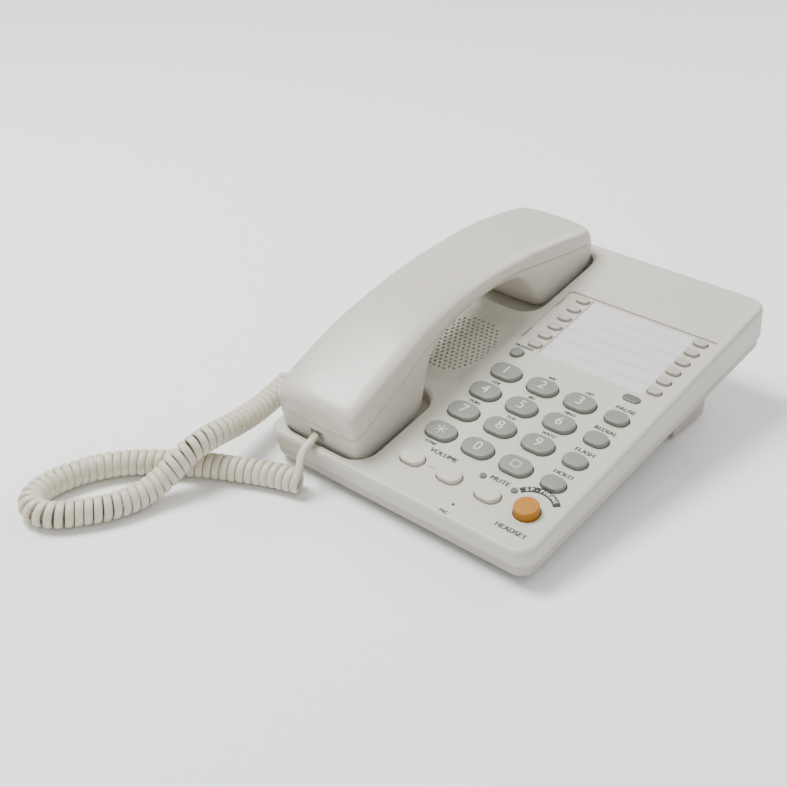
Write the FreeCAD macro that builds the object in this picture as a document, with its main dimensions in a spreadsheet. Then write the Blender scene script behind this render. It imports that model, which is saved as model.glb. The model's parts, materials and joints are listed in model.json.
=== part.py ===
import FreeCAD, Part
import Sketcher
import math
import os

# A corded desk telephone.  The case is laid out in the frame of its sloping key panel:
# X to the right, Y up the panel, Z square to it, with the panel's face at Z = 0.
# Every sub-part is then stood on the table by one placement, the panel frame.

doc = FreeCAD.newDocument("desk_telephone")
sheet = doc.addObject("Spreadsheet::Sheet", "sizes")

SIZES = (
    # the case
    ("case_width", 149.6, "case, side to side"),
    ("case_depth", 210.0, "case, front to back"),
    ("case_corner", 9.0, "corner radius of the case"),
    ("case_rounding", 4.0, "rounding of the case's upper edge"),
    ("wall", 2.5, "wall of the case mouldings"),
    ("panel_slope", 10.5, "slope of the key panel, degrees"),
    ("panel_height", 37.7, "height of the panel's middle over the table"),
    ("row_shift", -2.01, "shift that centres the standing case"),
    ("parting_drop", 13.5, "depth of the parting line at the middle"),
    ("parting_tilt", 2.67, "tilt of the parting line, degrees"),
    ("base_depth", 7.0, "depth of the lower moulding"),
    ("base_inset", 1.2, "step from the upper moulding to the lower"),
    ("fit_gap", 0.3, "gap between loose neighbours"),
    # the cradle
    ("well_gap", 0.8, "gap between the handset and its wells"),
    ("well_floor", 8.4, "depth of the two wells"),
    ("ear_well_start", 33.0, "front edge of the ear well"),
    ("mouth_well_end", -43.0, "back edge of the mouth well"),
    ("tray_depth", 3.3, "depth of the floor between the wells"),
    ("tray_rim", 15.3, "rim left of that floor, inside the wells"),
    ("tray_margin", 2.2, "reach of that floor to the right of the wells"),
    ("grille_offset", 7.5, "middle of the loudspeaker grille, right of the handset's middle"),
    ("grille_y", 1.0, "middle of the loudspeaker grille"),
    ("grille_radius", 19.0, "radius of the grille"),
    ("grille_pitch", 4.4, "pitch of the grille holes"),
    ("grille_hole", 0.8, "radius of a grille hole"),
    # the keys
    ("key_height", 2.2, "height of a key over the panel"),
    ("key_gap", 0.35, "gap around a key"),
    ("key_flange", 1.4, "flange around a key under the panel"),
    ("flange_thick", 1.2, "thickness of that flange"),
    ("flange_drop", 0.4, "gap between the panel and the flange"),
    ("key_travel", 1.5, "travel of a key"),
    ("digit_margin", 10.6, "gap from the cradle to the first digit column"),
    ("column_gap", 5.1, "gap between the digit columns"),
    ("row_gap", 6.08, "gap between the digit rows"),
    ("digit_width", 15.8, "length of a digit key"),
    ("digit_depth", 10.8, "width of a digit key"),
    ("function_step", 19.7, "last digit column to the function keys"),
    ("function_width", 11.6, "length of a function key"),
    ("function_depth", 8.4, "width of a function key"),
    ("bottom_margin", 21.7, "case's front edge to the volume, mute and speakerphone keys"),
    ("bottom_step", 20.86, "last digit row to the volume, mute and speakerphone keys"),
    ("bottom_width", 12.2, "length of a volume or mute key"),
    ("bottom_depth", 8.6, "width of a volume or mute key"),
    ("talk_key", 11.4, "diameter of the speakerphone key"),
    ("talk_height", 4.2, "height of the speakerphone key"),
    ("memory_step", 7.4, "edge of the label card to the one-touch keys"),
    ("memory_drop", 3.7, "card's back edge to the first row of one-touch keys"),
    ("memory_pitch", 8.5, "pitch of the one-touch keys"),
    ("memory_width", 7.0, "length of a one-touch key"),
    ("memory_depth", 3.6, "width of a one-touch key"),
    ("program_left", 5.0, "program key, left of the first digit column"),
    ("program_step", 10.2, "first digit row's back edge to the program key"),
    ("program_key", 6.6, "diameter of the program key"),
    # the label card
    ("card_width", 52.0, "label card, side to side"),
    ("card_depth", 50.0, "label card, front to back"),
    ("card_margin", 14.1, "digit keys' left edge to the card's left edge"),
    ("card_step", 6.4, "program key to the card's front edge"),
    ("card_thick", 0.3, "thickness of the card"),
    ("window_thick", 1.0, "thickness of its clear cover"),
    # electronics
    ("board_side", 4.9, "reach of the circuit board past the function keys"),
    ("board_left", 9.8, "reach of the circuit board left of the first digit column"),
    ("board_front", 8.7, "reach of the circuit board in front of the bottom row"),
    ("board_back", 6.5, "reach of the circuit board behind the one-touch keys"),
    ("press_gap", 0.4, "gap between a pressed key and the rubber mat"),
    ("board_thick", 1.6, "thickness of the board"),
    ("mat_thick", 1.2, "thickness of the rubber key mat"),
    ("mat_pad", 0.3, "height of a contact pad over the mat"),
    ("pad_radius", 2.2, "radius of a contact pad"),
    ("speaker_radius", 25.0, "radius of the loudspeaker"),
    ("speaker_rim", 1.6, "thickness of the loudspeaker's rim"),
    ("speaker_cone", 4.0, "depth of the loudspeaker's basket"),
    ("magnet_radius", 13.0, "radius of the loudspeaker's magnet"),
    ("magnet_depth", 3.6, "depth of the loudspeaker's magnet"),
    ("mic_radius", 4.8, "radius of the case microphone"),
    ("mic_depth", 5.0, "depth of the case microphone"),
    ("lamp_radius", 1.5, "radius of a status lamp"),
    # screws
    ("boss_radius", 3.6, "radius of a screw boss"),
    ("screw_radius", 1.5, "radius of a case screw"),
    ("screw_side", 6.6, "case screws from the right side of the case"),
    ("screw_end", 9.0, "case screws from the ends of the case"),
    ("screw_gap", 0.08, "gap between a screw and its hole"),
    ("screw_reach", 6.0, "reach of a screw over the parting line"),
    ("head_radius", 2.8, "radius of a screw head"),
    ("head_depth", 1.5, "depth of a screw head"),
    # sockets and plugs
    ("line_jack_x", 40.0, "place of the line jack"),
    ("line_socket_width", 10.0, "line jack opening, side to side"),
    ("line_socket_height", 7.0, "line jack opening, height"),
    ("jack_wall", 1.5, "wall of a jack"),
    ("jack_depth", 11.0, "depth of a jack"),
    ("cord_jack_y", -34.0, "place of the handset cord jack on the case"),
    ("cord_socket_width", 7.8, "cord jack opening, side to side"),
    ("cord_socket_height", 5.6, "cord jack opening, height"),
    ("plug_gap", 0.15, "gap between a plug and its jack"),
    ("plug_depth", 8.0, "depth of a plug inside its jack"),
    ("boot_length", 5.0, "length of a plug outside its jack"),
    # the stand and feet
    ("stand_width", 128.0, "stand, side to side"),
    ("stand_front", 38.0, "front edge of the stand"),
    ("stand_back", 68.5, "back edge of the stand"),
    ("stand_wall", 2.2, "wall of the stand"),
    ("foot_radius", 6.0, "radius of a rubber foot"),
    ("foot_height", 1.6, "height of the rear rubber feet"),
    ("foot_spread", 50.0, "feet, from the middle"),
    ("front_foot_inset", 17.0, "front feet from the case's front edge"),
    # the hook and the ringer switch
    ("hook_inset", 35.3, "hook plunger from the handset's back end"),
    ("hook_width", 12.0, "hook plunger, side to side"),
    ("hook_depth", 6.0, "hook plunger, front to back"),
    ("hook_rise", 5.0, "rise of the hook plunger"),
    ("ringer_x", 14.0, "place of the ringer switch on the back"),
    ("ringer_travel", 3.0, "travel of the ringer switch to each side"),
    ("ringer_width", 4.0, "ringer switch knob, side to side"),
    ("ringer_height", 3.4, "ringer switch knob, height"),
    # the handset
    ("handset_width", 50.0, "handset ends, side to side"),
    ("grip_width", 44.0, "handset grip, side to side"),
    ("handset_back_inset", 7.7, "handset's back end from the case's back edge"),
    ("handset_front_inset", 6.2, "handset's front end from the case's front edge"),
    ("crown_height", 54.0, "height of the crown's bend over the panel"),
    ("ear_end_height", 18.5, "height of the ear end over the panel"),
    ("mouth_end_height", 23.8, "height of the mouth end over the panel"),
    ("grip_height", 26.5, "height of the grip's underside over the panel"),
    ("seam_height", 27.5, "height of the line between the two shells"),
    ("well_corner", 12.0, "corner radius of the wells and of the handset's ends"),
    ("cup_bottom", -8.0, "underside of the cups"),
    ("crown_rounding", 7.0, "rounding along the handset's crown"),
    ("handset_wall", 2.2, "wall of the handset shells"),
    ("capsule_radius", 17.0, "radius of the receiver"),
    ("capsule_depth", 8.0, "depth of the receiver"),
    ("receiver_inset", 26.3, "receiver from the handset's back end"),
    ("transmitter_radius", 6.0, "radius of the transmitter"),
    ("transmitter_depth", 6.0, "depth of the transmitter"),
    ("transmitter_inset", 28.8, "transmitter from the handset's front end"),
    ("exit_height", 3.4, "height of the cord exit over the panel"),
    # the cord
    ("coil_diameter", 12.4, "outer diameter of the curled cord"),
    ("lead_diameter", 3.6, "diameter of the cord's straight ends"),
)

for row, (alias, size, meaning) in enumerate(SIZES, start=1):
    sheet.set(f"A{row}", meaning)
    sheet.set(f"B{row}", str(size))
    sheet.setAlias(f"B{row}", alias)
doc.recompute()


def value(expression):
    """The number that an expression on the sheet's cells comes to"""
    return float(sheet.evalExpression(expression))


def size(alias):
    return value("sizes." + alias)


# places and sizes that follow from the sheet
CASE_LEFT = "(-sizes.case_width / 2)"
CASE_BACK = "(sizes.case_depth / 2)"
HANDSET_BACK = f"({CASE_BACK} - sizes.handset_back_inset)"
HANDSET_FRONT = f"(sizes.handset_front_inset - {CASE_BACK})"
RECEIVER_Y = f"({HANDSET_BACK} - sizes.receiver_inset)"
TRANSMITTER_Y = f"({HANDSET_FRONT} + sizes.transmitter_inset)"
HOOK_Y = f"({HANDSET_BACK} - sizes.hook_inset)"
CRADLE = f"({CASE_LEFT} + sizes.wall + sizes.well_gap + sizes.handset_width / 2)"
WELL_LEFT = f"({CRADLE} - sizes.handset_width / 2 - sizes.well_gap)"
WELL_RIGHT = f"({CRADLE} + sizes.handset_width / 2 + sizes.well_gap)"
TRAY_LEFT = f"({WELL_LEFT} + sizes.tray_rim)"
TRAY_RIGHT = f"({WELL_RIGHT} + sizes.tray_margin)"
GRILLE_X = f"({CRADLE} + sizes.grille_offset)"
COLUMN_PITCH = "(sizes.digit_width + sizes.column_gap)"
ROW_PITCH = "(sizes.digit_depth + sizes.row_gap)"
DIGIT_X = f"({WELL_RIGHT} + sizes.digit_margin + sizes.digit_width / 2)"
FUNCTION_X = f"({DIGIT_X} + 2 * {COLUMN_PITCH} + sizes.function_step)"
BOTTOM_Y = f"(sizes.bottom_margin - {CASE_BACK})"
DIGIT_Y = f"({BOTTOM_Y} + sizes.bottom_step + 3 * {ROW_PITCH})"
PROGRAM_X = f"({DIGIT_X} - sizes.program_left)"
PROGRAM_Y = f"({DIGIT_Y} + sizes.digit_depth / 2 + sizes.program_step)"
CARD_X = f"({DIGIT_X} - sizes.digit_width / 2 + sizes.card_margin + sizes.card_width / 2)"
CARD_Y = f"({PROGRAM_Y} + sizes.card_step + sizes.card_depth / 2)"
MEMORY_Y = f"({CARD_Y} + sizes.card_depth / 2 - sizes.memory_drop)"
MEMORY_X = {"left": f"({CARD_X} - sizes.card_width / 2 - sizes.memory_step)",
            "right": f"({CARD_X} + sizes.card_width / 2 + sizes.memory_step)"}
FLANGE_TOP = "(-sizes.wall - sizes.flange_drop)"
FLANGE_BOTTOM = f"({FLANGE_TOP} - sizes.flange_thick)"
MAT_TOP = f"({FLANGE_BOTTOM} - sizes.key_travel - sizes.press_gap - sizes.mat_pad)"
BOARD_TOP = f"({MAT_TOP} - sizes.mat_thick)"
BOARD_BOTTOM = f"({BOARD_TOP} - sizes.board_thick)"
BOARD_LEFT = f"({DIGIT_X} - sizes.board_left)"
BOARD_RIGHT = f"({FUNCTION_X} + sizes.board_side)"
BOARD_FRONT = f"({BOTTOM_Y} - sizes.board_front)"
BOARD_BACK = f"({MEMORY_Y} + sizes.board_back)"
LAMP_X = (f"({DIGIT_X} + 1.58 * {COLUMN_PITCH})", f"({DIGIT_X} + 2.38 * {COLUMN_PITCH})")
LAMP_Y = f"({BOTTOM_Y} + 8.5)"
MIC_X = f"({DIGIT_X} + 32.8)"
MIC_Y = f"(9 - {CASE_BACK})"
RINGER_LAMP_X = f"({FUNCTION_X} - 2)"
RINGER_LAMP_Y = f"({PROGRAM_Y} + 0.4)"
RINGER_Z = "-9"


def shifted(x, y, z):
    return FreeCAD.Placement(FreeCAD.Vector(x, y, z), FreeCAD.Rotation())


def turned_about_x(degrees, x, y, z):
    return FreeCAD.Placement(
        FreeCAD.Vector(x, y, z), FreeCAD.Rotation(FreeCAD.Vector(1, 0, 0), degrees)
    )


# the panel frame in the table's frame, and the parting plane's frame in the panel frame
panel_frame = turned_about_x(size("panel_slope"), 0, size("row_shift"), size("panel_height"))
parting_frame = turned_about_x(-size("parting_tilt"), 0, 0, -size("parting_drop"))
unmoved = FreeCAD.Placement()

sub_parts = []


def keep(piece, label, placement=panel_frame):
    """Name a finished sub-part and stand it in its place on the table"""
    piece.Label = label
    piece.Placement = placement
    sub_parts.append(piece)
    return piece


def origin_plane(body, role):
    for feature in body.Origin.OriginFeatures:
        if feature.Role == role:
            return feature
    raise ValueError(role)


def rounded_sketch(body, name, width, depth, radius, x, y, z):
    """A fully sized rounded rectangle, centred on (x, y) at height z of its body"""
    sketch = body.newObject("Sketcher::SketchObject", name)
    sketch.AttachmentSupport = [(origin_plane(body, "XY_Plane"), "")]
    sketch.MapMode = "FlatFace"
    sketch.setExpression(".AttachmentOffset.Base.x", x)
    sketch.setExpression(".AttachmentOffset.Base.y", y)
    sketch.setExpression(".AttachmentOffset.Base.z", z)
    r = value(radius)
    a = value(width) / 2
    b = value(depth) / 2
    corners = ((a - r, b - r), (r - a, b - r), (r - a, r - b), (a - r, r - b))
    for quarter, (cx, cy) in enumerate(corners):
        circle = Part.Circle(FreeCAD.Vector(cx, cy, 0), FreeCAD.Vector(0, 0, 1), r)
        start = quarter * math.pi / 2
        sketch.addGeometry(Part.ArcOfCircle(circle, start, start + math.pi / 2))
    ends = (((a - r, b), (r - a, b)), ((-a, b - r), (-a, r - b)),
            ((r - a, -b), (a - r, -b)), ((a, r - b), (a, b - r)))
    for (x1, y1), (x2, y2) in ends:
        sketch.addGeometry(Part.LineSegment(FreeCAD.Vector(x1, y1, 0), FreeCAD.Vector(x2, y2, 0)))
    constrain = Sketcher.Constraint
    for side in range(4):
        line = 4 + side
        sketch.addConstraint(constrain("Tangent", side, 2, line, 1))
        sketch.addConstraint(constrain("Tangent", line, 2, (side + 1) % 4, 1))
    sketch.addConstraint(constrain("Horizontal", 4))
    sketch.addConstraint(constrain("Vertical", 5))
    for side in range(1, 4):
        sketch.addConstraint(constrain("Equal", 0, side))
    sketch.addConstraint(constrain("Symmetric", 0, 3, 2, 3, -1, 1))
    measures = (("Radius", (0, r), radius),
                ("DistanceX", (2, 3, 0, 3, 2 * (a - r)), f"({width}) - 2 * ({radius})"),
                ("DistanceY", (2, 3, 0, 3, 2 * (b - r)), f"({depth}) - 2 * ({radius})"))
    for kind, items, expression in measures:
        index = sketch.addConstraint(constrain(kind, *items))
        sketch.setExpression(f"Constraints[{index}]", expression)
    return sketch


def add_pad(body, name, width, depth, radius, bottom, top, x="0", y="0"):
    """Pad a rounded rectangle from bottom to top inside a body"""
    sketch = rounded_sketch(body, name + "_outline", width, depth, radius, x, y, bottom)
    pad = body.newObject("PartDesign::Pad", name + "_pad")
    pad.Profile = sketch
    pad.setExpression("Length", f"({top}) - ({bottom})")
    sketch.Visibility = False
    return pad


def round_edges_at(body, base, height, radius):
    """Round every edge of a body's feature that lies at one height"""
    doc.recompute()
    edges = []
    for number, edge in enumerate(base.Shape.Edges, start=1):
        if all(abs(vertex.Z - height) < 1e-4 for vertex in edge.Vertexes):
            edges.append(f"Edge{number}")
    fillet = body.newObject("PartDesign::Fillet", base.Name + "_rounding")
    fillet.Base = (base, edges)
    fillet.setExpression("Radius", radius)
    return fillet


def block(name, width, depth, radius, bottom, top, x="0", y="0", placement=unmoved):
    """A rounded rectangular block as a body of its own"""
    body = doc.addObject("PartDesign::Body", name)
    add_pad(body, name, width, depth, radius, bottom, top, x, y)
    body.Placement = placement
    return body


def rod(name, radius, bottom, top, x, y, placement=unmoved):
    """A round rod square to the frame that it is placed in"""
    cylinder = doc.addObject("Part::Cylinder", name)
    cylinder.setExpression("Radius", radius)
    cylinder.setExpression("Height", f"({top}) - ({bottom})")
    cylinder.Placement = placement.multiply(shifted(value(x), value(y), value(bottom)))
    return cylinder


def box(name, lengths, corner, placement=unmoved):
    """A square block from its lowest corner, all in expressions"""
    part_box = doc.addObject("Part::Box", name)
    for side, length in zip(("Length", "Width", "Height"), lengths):
        part_box.setExpression(side, length)
    part_box.Placement = placement.multiply(shifted(*(value(step) for step in corner)))
    return part_box


def fuse(name, shapes):
    joined = doc.addObject("Part::MultiFuse", name)
    joined.Shapes = shapes
    return joined


def cut(name, base, tool):
    result = doc.addObject("Part::Cut", name)
    result.Base = base
    result.Tool = tool
    return result


# ---------------------------------------------------------------- where the keys stand
DIGIT_NAMES = (("one", "two", "three"), ("four", "five", "six"),
               ("seven", "eight", "nine"), ("star", "zero", "square"))
FUNCTION_NAMES = ("pause", "redial", "flash", "hold")
MEMORY_ROWS = 6


def key_table():
    """Each key's name, its length, width, corner, height and place, as expressions"""
    keys = []
    digit = ("sizes.digit_width", "sizes.digit_depth", "sizes.digit_depth / 2 - 0.05",
             "sizes.key_height")
    for row, names in enumerate(DIGIT_NAMES):
        y = f"{DIGIT_Y} - {row} * {ROW_PITCH}"
        for column, word in enumerate(names):
            x = f"{DIGIT_X} + {column} * {COLUMN_PITCH}"
            keys.append((f"key_{word}", *digit, x, y))
    side = ("sizes.function_width", "sizes.function_depth", "sizes.function_depth / 2 - 0.05",
            "sizes.key_height")
    for row, word in enumerate(FUNCTION_NAMES):
        y = f"{DIGIT_Y} - {row} * {ROW_PITCH}"
        keys.append((f"key_{word}", *side, FUNCTION_X, y))
    low = ("sizes.bottom_width", "sizes.bottom_depth", "sizes.bottom_depth / 2 - 0.05",
           "sizes.key_height")
    for column, word in enumerate(("volume_down", "volume_up", "mute")):
        x = f"{DIGIT_X} + {column} * {COLUMN_PITCH}"
        keys.append((f"key_{word}", *low, x, BOTTOM_Y))
    keys.append(("key_speakerphone", "sizes.talk_key", "sizes.talk_key",
                 "sizes.talk_key / 2 - 0.05", "sizes.talk_height", FUNCTION_X,
                 f"{BOTTOM_Y} + 1"))
    small = ("sizes.memory_width", "sizes.memory_depth", "sizes.memory_depth / 2 - 0.05",
             "sizes.key_height - 0.6")
    for side_name in ("left", "right"):
        for row in range(MEMORY_ROWS):
            y = f"{MEMORY_Y} - {row} * sizes.memory_pitch"
            keys.append((f"memory_{side_name}_{row + 1}", *small, MEMORY_X[side_name], y))
    keys.append(("key_program", "sizes.program_key", "sizes.program_key",
                 "sizes.program_key / 2 - 0.05", "sizes.key_height - 0.6",
                 PROGRAM_X, PROGRAM_Y))
    return keys


KEYS = key_table()

# the five case screws, in the parting plane
SCREW_RIGHT = "(sizes.case_width / 2 - sizes.screw_side)"
SCREW_BACK = f"({CASE_BACK} - sizes.screw_end)"
SCREWS = ((SCREW_RIGHT, f"(-{SCREW_BACK})"), (SCREW_RIGHT, SCREW_BACK),
          (f"({WELL_RIGHT} + 12.7)", SCREW_BACK),
          (f"({WELL_RIGHT} + 8.2)", f"(-{SCREW_BACK} - 2)"), (f"({WELL_LEFT} + 6.3)", "12"))


def make_keys():
    """Moulded keys: a rounded cap over a flange that the panel holds down"""
    for name, width, depth, radius, height, x, y in KEYS:
        body = doc.addObject("PartDesign::Body", name)
        flange = "2 * sizes.key_flange"
        add_pad(body, name + "_flange", f"{width} + {flange}", f"{depth} + {flange}",
                f"{radius} + sizes.key_flange", FLANGE_BOTTOM, FLANGE_TOP)
        cap = add_pad(body, name + "_cap", width, depth, radius, FLANGE_BOTTOM, height)
        body.Tip = round_edges_at(body, cap, value(height), "0.9")
        keep(body, name, panel_frame.multiply(shifted(value(x), value(y), 0)))


def well(name, grow, floor, start, end, left, right):
    """A well or the block around it: grow is how far outside the well's own walls it lies"""
    width = f"({right}) - ({left}) + 2 * ({grow})"
    depth = f"({end}) - ({start}) + 2 * ({grow})"
    return block(name, width, depth, f"sizes.well_corner + ({grow})", f"-({floor}) - ({grow})", "5",
                 f"(({left}) + ({right})) / 2", f"(({start}) + ({end})) / 2")


def cradle(name, grow):
    """The ear well, the mouth well and the floor between them"""
    ear = well(name + "_ear", grow, "sizes.well_floor", "sizes.ear_well_start",
               f"{HANDSET_BACK} + sizes.well_gap", WELL_LEFT, WELL_RIGHT)
    mouth = well(name + "_mouth", grow, "sizes.well_floor",
                 f"{HANDSET_FRONT} - sizes.well_gap", "sizes.mouth_well_end",
                 WELL_LEFT, WELL_RIGHT)
    tray = block(name + "_tray", f"{TRAY_RIGHT} - {TRAY_LEFT} + 2 * ({grow})",
                 "sizes.ear_well_start - sizes.mouth_well_end + 24", f"2 + ({grow})",
                 f"-sizes.tray_depth - ({grow})", "5",
                 f"({TRAY_RIGHT} + {TRAY_LEFT}) / 2",
                 "(sizes.ear_well_start + sizes.mouth_well_end) / 2")
    return [ear, mouth, tray]


def grille_places():
    """Rows of sound holes, each row set half a pitch from the last, inside one circle"""
    pitch = size("grille_pitch")
    rows = int(size("grille_radius") / (pitch * math.sqrt(0.75)))
    places = []
    for row in range(-rows, rows + 1):
        y = row * pitch * math.sqrt(0.75)
        offset = pitch / 2 if row % 2 else 0
        columns = int(size("grille_radius") / pitch) + 1
        for column in range(-columns, columns + 1):
            x = column * pitch + offset
            if math.hypot(x, y) <= size("grille_radius"):
                places.append((value(GRILLE_X) + x, size("grille_y") + y))
    return places


def plug_opening(name, width, height, x, y, z, along_y, length):
    """A square way in for a plug, through a wall that faces along Y or along X"""
    if along_y:
        lengths = (width, length, height)
        corner = (f"({x}) - ({width}) / 2", y, f"({z}) - ({height}) / 2")
    else:
        lengths = (length, width, height)
        corner = (x, f"({y}) - ({width}) / 2", f"({z}) - ({height}) / 2")
    return box(name, lengths, corner)


LINE_JACK_Z = "-sizes.wall - sizes.jack_wall - sizes.line_socket_height / 2"
CORD_JACK_Z = "-sizes.wall - sizes.jack_wall - sizes.cord_socket_height / 2"


def screw_rods(name, radius, bottom, top):
    """One rod at each case screw, square to the parting plane"""
    return [rod(f"{name}_{number}", radius, bottom, top, x, y, parting_frame)
            for number, (x, y) in enumerate(SCREWS, start=1)]


def make_top_cover():
    """Upper moulding: the panel with its key holes, the cradle and the walls to the parting line"""
    blank = doc.addObject("PartDesign::Body", "cover_blank")
    pad = add_pad(blank, "cover_blank", "sizes.case_width", "sizes.case_depth",
                  "sizes.case_corner", "-30", "0")
    blank.Tip = round_edges_at(blank, pad, 0.0, "sizes.case_rounding")
    hollow = block("cover_hollow", "sizes.case_width - 2 * sizes.wall",
                   "sizes.case_depth - 2 * sizes.wall", "sizes.case_corner - sizes.wall",
                   "-31", "-sizes.wall")
    solid_inside = fuse("cover_inside", cradle("cradle_wall", "sizes.wall")
                        + screw_rods("upper_boss", "sizes.boss_radius", "0", "20"))
    space = cut("cover_space", hollow, solid_inside)
    below = box("below_parting", ("400", "400", "100"), ("-200", "-200", "-100"), parting_frame)
    openings = cradle("cradle_well", "0")
    openings += screw_rods("pilot_hole", "sizes.screw_radius + sizes.screw_gap", "-1",
                           "sizes.screw_reach + 0.5")
    for name, width, depth, radius, height, x, y in KEYS:
        grow = "2 * sizes.key_gap"
        openings.append(block(name + "_hole", f"{width} + {grow}", f"{depth} + {grow}",
                              f"{radius} + sizes.key_gap", "-sizes.wall - 1", "1", x, y))
    for number, (x, y) in enumerate(grille_places(), start=1):
        openings.append(rod(f"grille_hole_{number}", "sizes.grille_hole", "-9", "0",
                            str(x), str(y)))
    for number, x in enumerate(LAMP_X, start=1):
        openings.append(rod(f"lamp_hole_{number}", "sizes.lamp_radius + sizes.key_gap / 4",
                            "-5", "1", x, LAMP_Y))
    openings.append(rod("mic_hole", "1", "-5", "1", MIC_X, MIC_Y))
    openings.append(block("ringer_lamp_hole", "9.2", "4.8", "2.35", "-5", "1",
                          RINGER_LAMP_X, RINGER_LAMP_Y))
    openings.append(block("card_recess", "sizes.card_width + 2 * sizes.fit_gap",
                          "sizes.card_depth + 2 * sizes.fit_gap", "2",
                          "-sizes.card_thick - sizes.window_thick", "1",
                          CARD_X, CARD_Y))
    openings.append(plug_opening("line_opening", "sizes.line_socket_width",
                                 "sizes.line_socket_height", "sizes.line_jack_x",
                                 f"{CASE_BACK} - sizes.wall - 1", LINE_JACK_Z, True, "10"))
    openings.append(plug_opening("cord_opening", "sizes.cord_socket_width",
                                 "sizes.cord_socket_height", f"{CASE_LEFT} - 5",
                                 "sizes.cord_jack_y", CORD_JACK_Z, False, "sizes.wall + 6"))
    openings.append(plug_opening("ringer_slot",
                                 "sizes.ringer_width + 2 * sizes.ringer_travel + 1",
                                 "sizes.ringer_height + 1", "sizes.ringer_x",
                                 f"{CASE_BACK} - sizes.wall - 1", RINGER_Z, True, "10"))
    openings.append(block("hook_hole", "sizes.hook_width + 2 * sizes.fit_gap",
                          "sizes.hook_depth + 2 * sizes.fit_gap", "1",
                          "-sizes.well_floor - sizes.wall - 1", "-sizes.well_floor + 1",
                          CRADLE, HOOK_Y))
    tools = fuse("cover_openings", [space, below] + openings)
    keep(cut("top_cover", blank, tools), "top_cover")


BOARD_POSTS = tuple((x, y) for x in (f"({BOARD_LEFT} + 3)", f"({BOARD_RIGHT} - 3.2)")
                    for y in (f"({BOARD_FRONT} + 32)", f"({BOARD_BACK} - 23)"))


def make_bottom_cover():
    """Lower moulding: a shallow tray with the screw bosses and the posts under the board"""
    width = "sizes.case_width - 2 * sizes.base_inset"
    depth = "sizes.case_depth - 2 * sizes.base_inset"
    corner = "sizes.case_corner - sizes.base_inset"
    tray = doc.addObject("PartDesign::Body", "base_tray")
    pad = add_pad(tray, "base_tray", width, depth, corner, "-sizes.base_depth", "0")
    tray.Tip = round_edges_at(tray, pad, -size("base_depth"), "2")
    tray.Placement = parting_frame
    hollow = block("base_hollow", f"{width} - 2 * sizes.wall", f"{depth} - 2 * sizes.wall",
                   f"{corner} - sizes.wall", "-sizes.base_depth + sizes.wall", "1",
                   placement=parting_frame)
    shell = cut("base_shell", tray, hollow)
    bosses = screw_rods("lower_boss", "sizes.boss_radius", "-sizes.base_depth + 1", "0")
    posts = []
    for number, (x, y) in enumerate(BOARD_POSTS, start=1):
        foot = f"-sizes.parting_drop - {y} * tan(sizes.parting_tilt) - sizes.base_depth + 1"
        posts.append(rod(f"board_post_{number}", "2.5", foot, BOARD_BOTTOM, x, y))
    body = fuse("base_body", [shell] + bosses + posts)
    holes = screw_rods("screw_hole", "sizes.screw_radius + sizes.screw_gap",
                       "-sizes.base_depth - 1", "1")
    holes += screw_rods("screw_sink", "sizes.head_radius + 0.2", "-sizes.base_depth - 1",
                        "-sizes.base_depth + sizes.head_depth + 0.2")
    keep(cut("bottom_cover", body, fuse("base_holes", holes)), "bottom_cover")


def make_case_screws():
    heads = screw_rods("screw_head", "sizes.head_radius", "-sizes.base_depth + 0.2",
                       "-sizes.base_depth + sizes.head_depth + 0.2")
    shanks = screw_rods("screw_shank", "sizes.screw_radius",
                        "-sizes.base_depth + sizes.head_depth", "sizes.screw_reach")
    keep(fuse("case_screws", heads + shanks), "case_screws")


def under_case(name):
    """Everything above the lower moulding's underside, in the table's frame"""
    return box(name, ("400", "400", "100"), ("-200", "-200", "-sizes.base_depth"),
               panel_frame.multiply(parting_frame))


def make_rear_stand():
    """A hollow wedge under the back of the case, open where it meets the case"""
    outer = box("stand_outer", ("sizes.stand_width", "sizes.stand_back - sizes.stand_front", "60"),
                ("-sizes.stand_width / 2", "sizes.stand_front", "sizes.foot_height"))
    inner = box("stand_inner", ("sizes.stand_width - 2 * sizes.stand_wall",
                                "sizes.stand_back - sizes.stand_front - 2 * sizes.stand_wall",
                                "60"),
                ("-sizes.stand_width / 2 + sizes.stand_wall",
                 "sizes.stand_front + sizes.stand_wall", "sizes.foot_height + sizes.stand_wall"))
    tools = fuse("stand_tools", [inner, under_case("above_stand")])
    keep(cut("rear_stand", outer, tools), "rear_stand", unmoved)


def make_rubber_feet():
    """Two tall feet under the front and two thin ones under the stand"""
    feet = []
    rear_y = "(sizes.stand_front + sizes.stand_back) / 2"
    for side in ("-", ""):
        x = f"{side}sizes.foot_spread"
        feet.append(rod(f"rear_foot{side and '_left'}", "sizes.foot_radius", "0",
                        "sizes.foot_height", x, rear_y))
        feet.append(rod(f"front_foot{side and '_left'}", "sizes.foot_radius", "0", "20", x,
                        f"sizes.front_foot_inset - {CASE_BACK}"))
    keep(cut("rubber_feet", fuse("feet_blanks", feet), under_case("above_feet")),
         "rubber_feet", unmoved)


def make_label_card():
    keep(block("label_card", "sizes.card_width", "sizes.card_depth", "1.5",
               "-sizes.card_thick - sizes.window_thick", "-sizes.window_thick",
               CARD_X, CARD_Y), "label_card")
    keep(block("label_window", "sizes.card_width", "sizes.card_depth", "1.5",
               "-sizes.window_thick", "0", CARD_X, CARD_Y), "label_window")


def make_board():
    """The circuit board under the key mat"""
    keep(block("main_board", f"{BOARD_RIGHT} - {BOARD_LEFT}", f"{BOARD_BACK} - {BOARD_FRONT}",
               "2", BOARD_BOTTOM, BOARD_TOP, f"({BOARD_RIGHT} + {BOARD_LEFT}) / 2",
               f"({BOARD_BACK} + {BOARD_FRONT}) / 2"), "main_board")


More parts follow.
